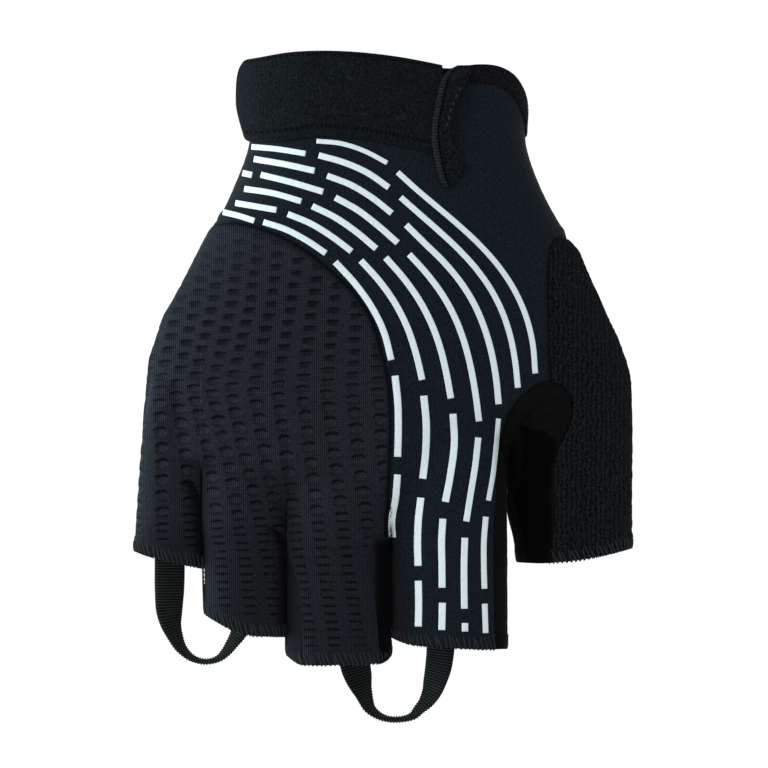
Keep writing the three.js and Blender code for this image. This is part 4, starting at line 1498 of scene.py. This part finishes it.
STITCH_PITCH = 1.15
PLAIN_EDGES_PX = (497.0, 551.0)
STITCH_TALL = 3.4
STITCH_SLANT = 1.0
STITCH_RISES = np.array([1, 0.66, 0.33, 0.03])
STITCH_LIFTS = np.array([0.12, 0.30, 0.28, 0.10])
THUMB_STITCH_LIFT = 0.42
STITCH_WIDTHS = (0.40, 0.60)
STITCH_HEIGHT = 0.42
THUMB_HEM_MIDDLE = (0.766, 0.375, 0.816)
HEM_STOPS = 180


def hem_round(tree, middle, height):
    """The rim of one finger's hem, as a closed line of points around it."""
    turn = np.linspace(0, 2 * math.pi, HEM_STOPS, endpoint=False) + math.pi
    out = np.stack([np.cos(turn), np.sin(turn), 0 * turn], 1)
    places = np.tile((*middle, height), (HEM_STOPS, 1)).astype(float)
    for _ in range(3):
        hits, _ = cast_outward(tree, places, out)
        places[:, 2] = hem_place(hits)
    hits, _ = cast_outward(tree, places, out)
    return np.concatenate([hits, hits[:1]])


def hem_stitches(tree):
    """Slanting stitches over every hem, but for the plain edge between thumb and index finger."""
    parts = []
    rounds = [((p["left"] + p["right"]) / 2, 0.0, (p["hem_little"] + p["hem_thumb"]) / 2) for p in PLACES]
    across, deep, down = THUMB_HEM_MIDDLE
    rounds.append((across * THUMB_REACH, deep * HAND_DEPTH, -down * GLOVE_LENGTH))
    for *middle, height in rounds:
        rim = hem_round(tree, middle, height)
        total = stretch_along(rim)[-1]
        count = int(round(total / STITCH_PITCH))
        for k in range(count):
            start = total * k / count + random.uniform(-0.16, 0.16)
            tall = STITCH_TALL * random.uniform(0.82, 1.0)
            slant = STITCH_SLANT * random.uniform(0.4, 1.6)
            feet = at_length(rim, (start - slant * STITCH_RISES) % total)
            feet[:, 2] += tall * STITCH_RISES
            inner = np.column_stack([np.tile(middle, (len(feet), 1)), feet[:, 2]])
            hits, normals = cast_outward(tree, inner, feet - inner)
            place = pixels_of(hits[:1])[0][0]
            if PLAIN_EDGES_PX[0] < place < PLAIN_EDGES_PX[1]:
                continue
            on_back = hits[0, 1] < palm_line(hits[0, 0])
            over = THUMB_STITCH_LIFT if place > PLAIN_EDGES_PX[1] and on_back else 0.0
            path = hits + normals * (STITCH_LIFTS + over)[:, None]
            path = np.concatenate([path, [path[-1] - normals[-1] * 0.7 - (0, 0, 0.35)]])
            normals = np.concatenate([normals, [(0.0, 0.0, -1.0) + 0.4 * normals[-1]]])
            parts.append(thread(path, normals, random.uniform(*STITCH_WIDTHS), STITCH_HEIGHT))
    return parts


WEBBING_WIDTH = 7.6
WEBBING_THICKNESS = 1.1
RIB_PITCH = 0.7
RIB_RISE = 0.14
LOOPS = [
    # name, node, how deep its ends lie, rows of the middle line's pixels and its turn in half turns
    ("pull_loop_left", "pull_loop_little_ring", 7.0, [
        (169.7, 545, 0), (169.7, 566, 0), (169.5, 590, 0.10), (169.5, 612, 0.20), (171.4, 625, 0.29),
        (174.8, 635, 0.35), (182, 649, 0.42), (193, 658.5, 0.47), (207, 661.6, 0.51), (219, 658, 0.56),
        (226.5, 651, 0.60), (231.5, 644, 0.63), (238.5, 632.5, 0.69), (242, 621, 0.74), (243, 610, 0.80),
    ]),
    ("pull_loop_right", "pull_loop_middle_index", 8.0, [
        (352, 644, 0), (354.5, 662, 0.02), (358.5, 677, 0.15), (363.3, 692, 0.30), (372, 710.5, 0.41),
        (383, 717.5, 0.46), (398, 719.5, 0.51), (413, 715.5, 0.56), (419.2, 709, 0.60), (425.0, 702.8, 0.65),
        (431.2, 692.4, 0.71), (435.0, 680.5, 0.77), (438.5, 666, 0.83), (440.3, 651, 0.86), (441, 636, 0.92),
    ]),
]


def pull_loop(name, node, depth, rows):
    """A short strap of ribbed webbing, turning over as it goes round."""
    rows = np.array(rows, float)
    x, z = unseen(from_pixels(rows[:, :2]).T, depth)
    path = smooth_path(np.column_stack([x, np.full(len(x), depth), z, rows[:, 2] * 10]), 0.13)
    turn = path[:, 3] / 10
    path = path[:, :3]
    along = unit(np.gradient(path, axis=0))
    wide = np.stack([np.cos(math.pi * turn), np.sin(math.pi * turn), 0 * turn], 1)
    wide = unit(wide - along * (wide * along).sum(1)[:, None])
    thick = np.cross(along, wide)
    ribs = RIB_RISE * np.cos(stretch_along(path) / RIB_PITCH * 2 * math.pi)
    share = np.linspace(-1, 1, 15)
    edge = np.maximum(0.0, 1 - np.abs(share) ** 8) ** 0.5
    half = thick[:, None] * ((WEBBING_THICKNESS / 2 + ribs)[:, None] * (0.25 + 0.75 * edge))[:, :, None]
    flat = path[:, None] + wide[:, None] * share[None, :, None] * (WEBBING_WIDTH / 2)
    obj = object_from(name, *grid_solid(flat + half, flat - half))
    # rib is the ribs' rise, for painted light on their crests and painted shade between them
    paint(obj, "rib", np.tile(np.repeat(0.5 + 0.5 * ribs / RIB_RISE, len(share)), 2))
    return settle(obj, "webbing", node)


# Materials


SHEEN_TINT = (0.8, 0.85, 1.0, 1)
SHEEN_ROUGHNESS = 0.5
WAVES_IN_A_UNIT = 20 / (2 * math.pi)


class Shader:
    """A principled material with small helpers for its nodes."""

    def __init__(self, name, color, roughness, specular, sheen=0.0):
        self.material = bpy.data.materials.new(name)
        self.material.use_nodes = True
        self.nodes = self.material.node_tree.nodes
        self.links = self.material.node_tree.links
        self.shader = self.nodes["Principled BSDF"]
        self.shader.inputs["Base Color"].default_value = (*color, 1)
        self.shader.inputs["Roughness"].default_value = roughness
        self.shader.inputs["Specular IOR Level"].default_value = specular
        self.shader.inputs["Sheen Weight"].default_value = sheen
        self.shader.inputs["Sheen Tint"].default_value = SHEEN_TINT
        self.shader.inputs["Sheen Roughness"].default_value = SHEEN_ROUGHNESS
        self.place = self.nodes.new("ShaderNodeTexCoord").outputs["Object"]
        self.last_normal = None

    def node(self, kind, **values):
        """A node with its inputs or settings given by name."""
        node = self.nodes.new(kind)
        for key, value in values.items():
            if key in node.inputs:
                node.inputs[key].default_value = value
            else:
                setattr(node, key, value)
        return node

    def scaled(self, scale):
        """The place on the object, times a scale."""
        mapping = self.node("ShaderNodeMapping")
        mapping.inputs["Scale"].default_value = (scale, scale, scale)
        self.links.new(self.place, mapping.inputs["Vector"])
        return mapping.outputs["Vector"]

    def noise(self, size_mm, detail=3.0):
        """Noise with features of a size."""
        noise = self.node("ShaderNodeTexNoise", Scale=1.0, Detail=detail)
        self.links.new(self.scaled(1 / (size_mm * MM)), noise.inputs["Vector"])
        return noise.outputs["Fac"]

    def ribs(self, pitch_mm, direction="X", distortion=0.6, detail_scale=0.6):
        """Parallel ribs of a pitch, a little unsteady."""
        wave = self.node("ShaderNodeTexWave", bands_direction=direction, Distortion=distortion)
        wave.inputs["Scale"].default_value = 1.0
        wave.inputs["Detail"].default_value = 1.0
        wave.inputs["Detail Scale"].default_value = detail_scale
        self.links.new(self.scaled(1 / WAVES_IN_A_UNIT / (pitch_mm * MM)), wave.inputs["Vector"])
        return wave.outputs["Fac"]

    def value(self, operation, a, b=0.0):
        math_node = self.node("ShaderNodeMath", operation=operation)
        for k, item in enumerate((a, b)):
            if isinstance(item, (int, float)):
                math_node.inputs[k].default_value = item
            else:
                self.links.new(item, math_node.inputs[k])
        return math_node.outputs[0]

    def plus(self, a, b):
        return self.value("ADD", a, b)

    def less(self, a, b):
        return self.value("SUBTRACT", a, b)

    def times(self, a, b):
        return self.value("MULTIPLY", a, b)

    def size(self, a):
        return self.value("ABSOLUTE", a)

    def ramped(self, item, start, end):
        """0 before start to 1 past end, smoothly. start may be the greater."""
        ramp_node = self.node("ShaderNodeMapRange", interpolation_type="SMOOTHSTEP")
        for k, value in enumerate((start, end, 0.0, 1.0)):
            ramp_node.inputs[k + 1].default_value = value
        if start > end:
            ramp_node.inputs[1].default_value, ramp_node.inputs[2].default_value = end, start
            ramp_node.inputs[3].default_value, ramp_node.inputs[4].default_value = 1.0, 0.0
        self.links.new(item, ramp_node.inputs[0])
        return ramp_node.outputs[0]

    def attribute(self, name):
        """A value painted on the mesh."""
        return self.node("ShaderNodeAttribute", attribute_name=name).outputs["Fac"]

    def mix(self, share, a, b):
        mixer = self.node("ShaderNodeMix", data_type="RGBA")
        for k, item in ((6, a), (7, b)):
            if isinstance(item, tuple):
                mixer.inputs[k].default_value = (*item, 1)
            else:
                self.links.new(item, mixer.inputs[k])
        self.links.new(share, mixer.inputs[0])
        return mixer.outputs[2]

    def color(self, output):
        self.links.new(output, self.shader.inputs["Base Color"])

    def bump(self, height, depth_mm):
        bump_node = self.node("ShaderNodeBump", Strength=1.0, Distance=depth_mm * MM)
        self.links.new(height, bump_node.inputs["Height"])
        if self.last_normal is not None:
            self.links.new(self.last_normal, bump_node.inputs["Normal"])
        self.last_normal = bump_node.outputs["Normal"]
        self.links.new(self.last_normal, self.shader.inputs["Normal"])


def knit_material():
    """Fine ribs with staggered hollows: each has a painted shadow along its upper edge, a floor made lighter,
    partly for its paler threads and partly as painted light, and a thin lower edge of painted shade.
    """
    s = Shader("dimpled knit", (0.010, 0.0115, 0.017), 0.8, 0.03, 0.02)
    column = s.attribute("column")
    nearest = s.value("ROUND", column)
    dx = s.times(s.less(column, nearest), s.attribute("width"))
    stagger = s.times(s.value("FLOORED_MODULO", nearest, 2), 0.5)
    row = s.plus(s.attribute("row"), stagger)
    dy = s.times(s.less(row, s.value("ROUND", row)), s.attribute("pitch"))
    wobble = s.times(s.less(s.noise(1.3, 2.0), 0.5), 4.5)
    across = s.value("DIVIDE", s.plus(dx, wobble), HOLLOW_HALF_WIDTH_PX)
    down = s.value("DIVIDE", s.plus(dy, s.times(wobble, 0.4)), s.attribute("half_height"))
    oval = s.value("SQRT", s.plus(s.value("POWER", s.size(across), 3.0), s.times(down, down)))
    fade = s.attribute("fade")
    finger = s.attribute("finger")
    lens = s.attribute("lens")
    uneven = s.ramped(s.noise(2.6, 2.0), 0.15, 0.50)
    # The dark bars are painted shade: a painted shadow along each hollow's upper edge, and shade along its
    # lower edge, which on the fingers becomes the groove of a rung.
    ring_near = s.ramped(s.size(s.less(oval, 1.08)), 0.50, 0.08)
    upper = s.times(ring_near, s.ramped(down, -0.25, -0.75))
    lower = s.times(ring_near, s.ramped(down, 0.25, 0.8))
    lower = s.times(lower, s.plus(s.times(finger, 0.60), 0.40))
    bars = s.times(s.plus(upper, lower), s.times(fade, uneven))
    level = s.size(s.less(s.size(down), 1.0))
    rungs = s.times(s.ramped(level, 0.48, 0.10), s.ramped(s.size(across), 1.12, 0.92))
    rungs = s.times(rungs, s.times(fade, uneven))
    bars = s.plus(s.times(bars, s.less(1.0, finger)), s.times(rungs, finger))
    # Inside each hollow: painted shade in the upper rows, and a floor made lighter, partly for its paler
    # threads and partly as painted light.
    inner = s.times(s.ramped(oval, 1.05, 0.65), fade)
    hollow = s.times(inner, s.times(lens, 0.75))
    lightness = s.less(0.45, s.times(s.plus(lens, s.times(finger, 0.7)), 0.36))
    floor = s.times(inner, lightness)
    ribs = s.ribs(0.50)
    grain = s.noise(0.42, 3.0)
    rows = s.ribs(0.62, "Z", 4.0, 1.2)
    threads = s.plus(s.times(ribs, 0.50), s.times(rows, 0.22))
    cloth = s.plus(threads, s.times(s.ramped(grain, 0.30, 0.70), 0.28))
    s.bump(ribs, 0.20)
    s.bump(grain, 0.30)
    s.bump(s.less(1.0, bars), 0.40)
    lit = s.mix(cloth, (0.0008, 0.0014, 0.0028), (0.0220, 0.0256, 0.0326))
    pad = s.mix(cloth, (0.0022, 0.0020, 0.0032), (0.0405, 0.0390, 0.0450))
    mixed = s.mix(floor, lit, pad)
    mixed = s.mix(hollow, mixed, (0.0030, 0.0040, 0.0060))
    mixed = s.mix(s.times(bars, 0.88), mixed, (0.0002, 0.0003, 0.0006))
    mixed = s.mix(s.times(finger, 0.30), mixed, (0.0010, 0.0012, 0.0018))
    # shade: painted shade in the creases between fingers, and the dark seam line beside the stripe
    s.color(s.mix(s.times(s.attribute("shade"), 0.94), mixed, (0.0004, 0.0004, 0.0006)))
    return s.material


def lycra_material():
    """Fine vertical ribs, dark along the seams."""
    s = Shader("stretch knit", (0.0045, 0.0075, 0.0100), 0.7, 0.03, 0.015)
    ribs = s.ribs(0.50)
    grain = s.noise(0.40, 3.0)
    s.bump(ribs, 0.05)
    s.bump(grain, 0.08)
    cloth = s.plus(s.times(ribs, 0.35), s.times(s.ramped(grain, 0.32, 0.68), 0.65))
    lit = s.mix(cloth, (0.0012, 0.0028, 0.0040), (0.0080, 0.0122, 0.0158))
    s.color(s.mix(s.times(s.attribute("seam"), 0.85), lit, (0.0004, 0.0006, 0.0008)))
    return s.material


def print_material():
    """Pale, slightly uneven print."""
    s = Shader("pale print", (0.54, 0.62, 0.64), 0.7, 0.1)
    s.bump(s.noise(0.30, 2.0), 0.04)
    s.color(s.mix(s.noise(0.45, 3.0), (0.43, 0.51, 0.53), (0.62, 0.70, 0.72)))
    return s.material


def terry_material():
    """Rough loops in unsteady rows."""
    s = Shader("terry", (0.008, 0.0085, 0.009), 0.95, 0.01, 0.02)
    grain = s.noise(0.45, 4.0)
    rows = s.ribs(1.2, "X", 4.0, 1.6)
    loops = s.ramped(s.plus(s.times(grain, 0.86), s.times(rows, 0.14)), 0.34, 0.68)
    s.bump(loops, 0.5)
    s.color(s.mix(loops, (0.0006, 0.0010, 0.0013), (0.0112, 0.0142, 0.0162)))
    return s.material


def pile_material():
    """Brushed pile with faint patches, and painted shade in the dents and holes along its stitches."""
    s = Shader("brushed pile", (0.006, 0.0065, 0.007), 0.95, 0.01, 0.02)
    grain = s.ramped(s.noise(0.50, 4.0), 0.28, 0.72)
    s.bump(grain, 0.25)
    patches = s.mix(s.noise(9.0, 2.0), (0.0053, 0.0072, 0.0077), (0.0102, 0.0137, 0.0143))
    cloth = s.mix(grain, (0.0020, 0.0030, 0.0034), patches)
    # dark is painted shade along the stitches
    s.color(s.mix(s.attribute("dark"), cloth, (0.0003, 0.0004, 0.0005)))
    return s.material


def suede_material():
    """Plain dark suede."""
    s = Shader("suede", (0.0060, 0.0065, 0.0070), 0.95, 0.01, 0.02)
    s.bump(s.noise(0.5, 3.0), 0.12)
    return s.material


def side_material(name, light, dark):
    """Smooth stretch knit, with painted shade in its hollows and creases, from its attribute dark."""
    s = Shader(name, light, 0.8, 0.02, 0.01)
    s.bump(s.noise(0.4, 2.0), 0.05)
    s.color(s.mix(s.attribute("dark"), light, dark))
    return s.material


def tape_material(name, light):
    """Short pile, with painted light on its ribs and painted shade in its groove."""
    s = Shader(name, light, 0.8, 0.03, 0.02)
    grain = s.ramped(s.noise(0.55, 4.0), 0.32, 0.68)
    s.bump(grain, 0.35)
    cloth = s.mix(grain, (0.0006, 0.0009, 0.0010), light)
    cloth = s.mix(s.times(s.attribute("rib"), 0.5), cloth, (0.0260, 0.0275, 0.0290))
    s.color(s.mix(s.times(s.attribute("groove"), 0.9), cloth, (0.0003, 0.0003, 0.0004)))
    return s.material


def webbing_material():
    """Ribbed webbing, with painted light on its ribs' crests and painted shade between them."""
    s = Shader("webbing", (0.0110, 0.0125, 0.0120), 0.85, 0.03, 0.02)
    s.bump(s.noise(0.35, 2.0), 0.10)
    s.color(s.mix(s.attribute("rib"), (0.0008, 0.0012, 0.0014), (0.0230, 0.0265, 0.0255)))
    return s.material


def thread_material(name, color):
    """Plain sewing thread."""
    s = Shader(name, color, 0.85, 0.04)
    s.bump(s.noise(0.25, 2.0), 0.05)
    return s.material


def dress(material, *objects):
    """Give objects their material."""
    for obj in objects:
        obj.data.materials.append(material)


# The glove's pieces


def sewn(name, parts, slot, node, label, color):
    """Stitches as one object, in a thread of their own."""
    dress(thread_material(label, color), settle(joined(name, parts), slot, node))


OTHER_SIDES = [("side0", -1), ("side1", -1), ("side2", -1)]

skin = hand_skin()
skin_tree = tree_of(skin.points, skin.triangles)

dress(knit_material(), knit_cloth(skin))

stripe, stripe_outer, stripe_part = plain_panel(
    skin, "stretch_back", "printed_stretch", "back_stripe_panel",
    [("palm", -1), ("stripe", -1), ("thumb", -1), ("arch", -1), *OTHER_SIDES[1:]], 0.05, 1.0,
)
seam_near = np.min([np.abs(stripe_part.fields[name]) for name in ("stripe", "thumb", "arch")], axis=0)
paint(stripe, "seam", bump(seam_near, 0.45))
dress(lycra_material(), stripe)
dress(print_material(), dashes(stripe_outer, stripe_part))

thumb, _, _ = plain_panel(
    skin, "terry_thumb", "terry", "thumb_panel",
    [("palm", -1), ("thumb", 1), ("arch", -1), ("stripe", -1)], 0.12, 1.3, splits=1, proud=0.4,
)
dress(terry_material(), thumb)

palm, _, _ = plain_panel(
    skin, "suede_palm", "palm_suede", "palm_panel",
    [("palm", 1), *OTHER_SIDES], 0.10, 4.0,
)
dress(suede_material(), palm)

gusset, _, gusset_part = plain_panel(
    skin, "thumb_side_wall", "side_stretch", "thumb_gusset",
    [("palm", -1), ("arch", 1)], 0.05, 1.5, splits=1, carve=carved_hollow,
)
# dark is painted shade in the hollow beside the thumb
paint(gusset, "dark", thumb_hollow(gusset_part)[0])
dress(side_material("side stretch knit", (0.0030, 0.0030, 0.0031), (0.0006, 0.0006, 0.0006)), gusset)

wall_cloth = side_material("finger wall knit", (0.0066, 0.0078, 0.0095), (0.0006, 0.0006, 0.0008))
for gap, name in enumerate(("fourchette_little_ring", "fourchette_ring_middle", "fourchette_middle_index")):
    seams = [(f"side{gap}", 1)]
    wall, _, wall_part = plain_panel(skin, name + "_cloth", "side_stretch", name, seams, 0.04, 1.5)
    # dark is painted shade near the gap between the fingers, and in the notch beside the index finger
    paint(wall, "dark", wall_shade(wall_part, gap))
    dress(wall_cloth, wall)

dress(tape_material("edge tape", (0.0064, 0.0066, 0.0080)), binding(skin))
band, band_outer = strap(skin_tree)
dress(pile_material(), band)
tail, tail_stitches = limb(skin_tree)
dress(tape_material("strap tail tape", (0.0088, 0.0112, 0.0120)), tail)

webbing = webbing_material()
for loop in LOOPS:
    dress(webbing, pull_loop(*loop))

sewn(
    "hem_thread", hem_stitches(skin_tree), "printed_stretch", "back_stripe_panel",
    "pale thread", (0.0155, 0.0182, 0.0188),
)
sewn(
    "strap_thread", strap_stitches(band_outer), "strap_pile", "wrist_strap",
    "strap thread", (0.0045, 0.0052, 0.0056),
)
sewn("tail_thread", tail_stitches, "edge_binding", "cuff_binding", "light thread", (0.026, 0.030, 0.030))


# The light: a white room, darker above, with a soft key from the upper left and a cool rim from the left

world = bpy.data.worlds.new("room")
bpy.context.scene.world = world
world.use_nodes = True
nodes, links = world.node_tree.nodes, world.node_tree.links
sky_place = nodes.new("ShaderNodeTexCoord")
split = nodes.new("ShaderNodeSeparateXYZ")
ramp = nodes.new("ShaderNodeValToRGB")
ramp.color_ramp.elements[0].position = 0.30
ramp.color_ramp.elements[0].color = (1.0, 1.0, 1.0, 1)
ramp.color_ramp.elements[1].position = 0.95
ramp.color_ramp.elements[1].color = (0.35, 0.36, 0.38, 1)
links.new(sky_place.outputs["Generated"], split.inputs[0])
links.new(split.outputs["Z"], ramp.inputs["Fac"])
links.new(ramp.outputs["Color"], nodes["Background"].inputs["Color"])
nodes["Background"].inputs["Strength"].default_value = 1.03


def area_light(name, place, aim, size, power, color):
    """A square lamp at a place, turned to its aim."""
    data = bpy.data.lights.new(name, "AREA")
    data.shape = "SQUARE"
    data.size = size
    data.energy = power
    data.color = color
    obj = bpy.data.objects.new(name, data)
    obj.location = place
    obj.rotation_euler = (Vector(aim) - Vector(place)).to_track_quat("-Z", "Y").to_euler()
    bpy.context.scene.collection.objects.link(obj)


area_light("key", (-0.75, -1.1, 0.75), (0, 0, -0.08), 0.6, 10, (1.0, 0.98, 0.96))
area_light("rim", (-1.1, 0.1, 0.0), (0, 0, -0.08), 0.8, 21, (0.70, 0.90, 1.0))

camera_data = bpy.data.cameras.new("camera")
camera_data.sensor_width = 36.0
camera_data.lens = camera_data.sensor_width * CAMERA_DISTANCE / FRAME_WIDTH
camera = bpy.data.objects.new("camera", camera_data)
camera.location = EYE
camera.rotation_euler = (math.pi / 2, 0, 0)
bpy.context.scene.collection.objects.link(camera)
bpy.context.scene.camera = camera
bpy.context.scene.view_settings.view_transform = "Standard"
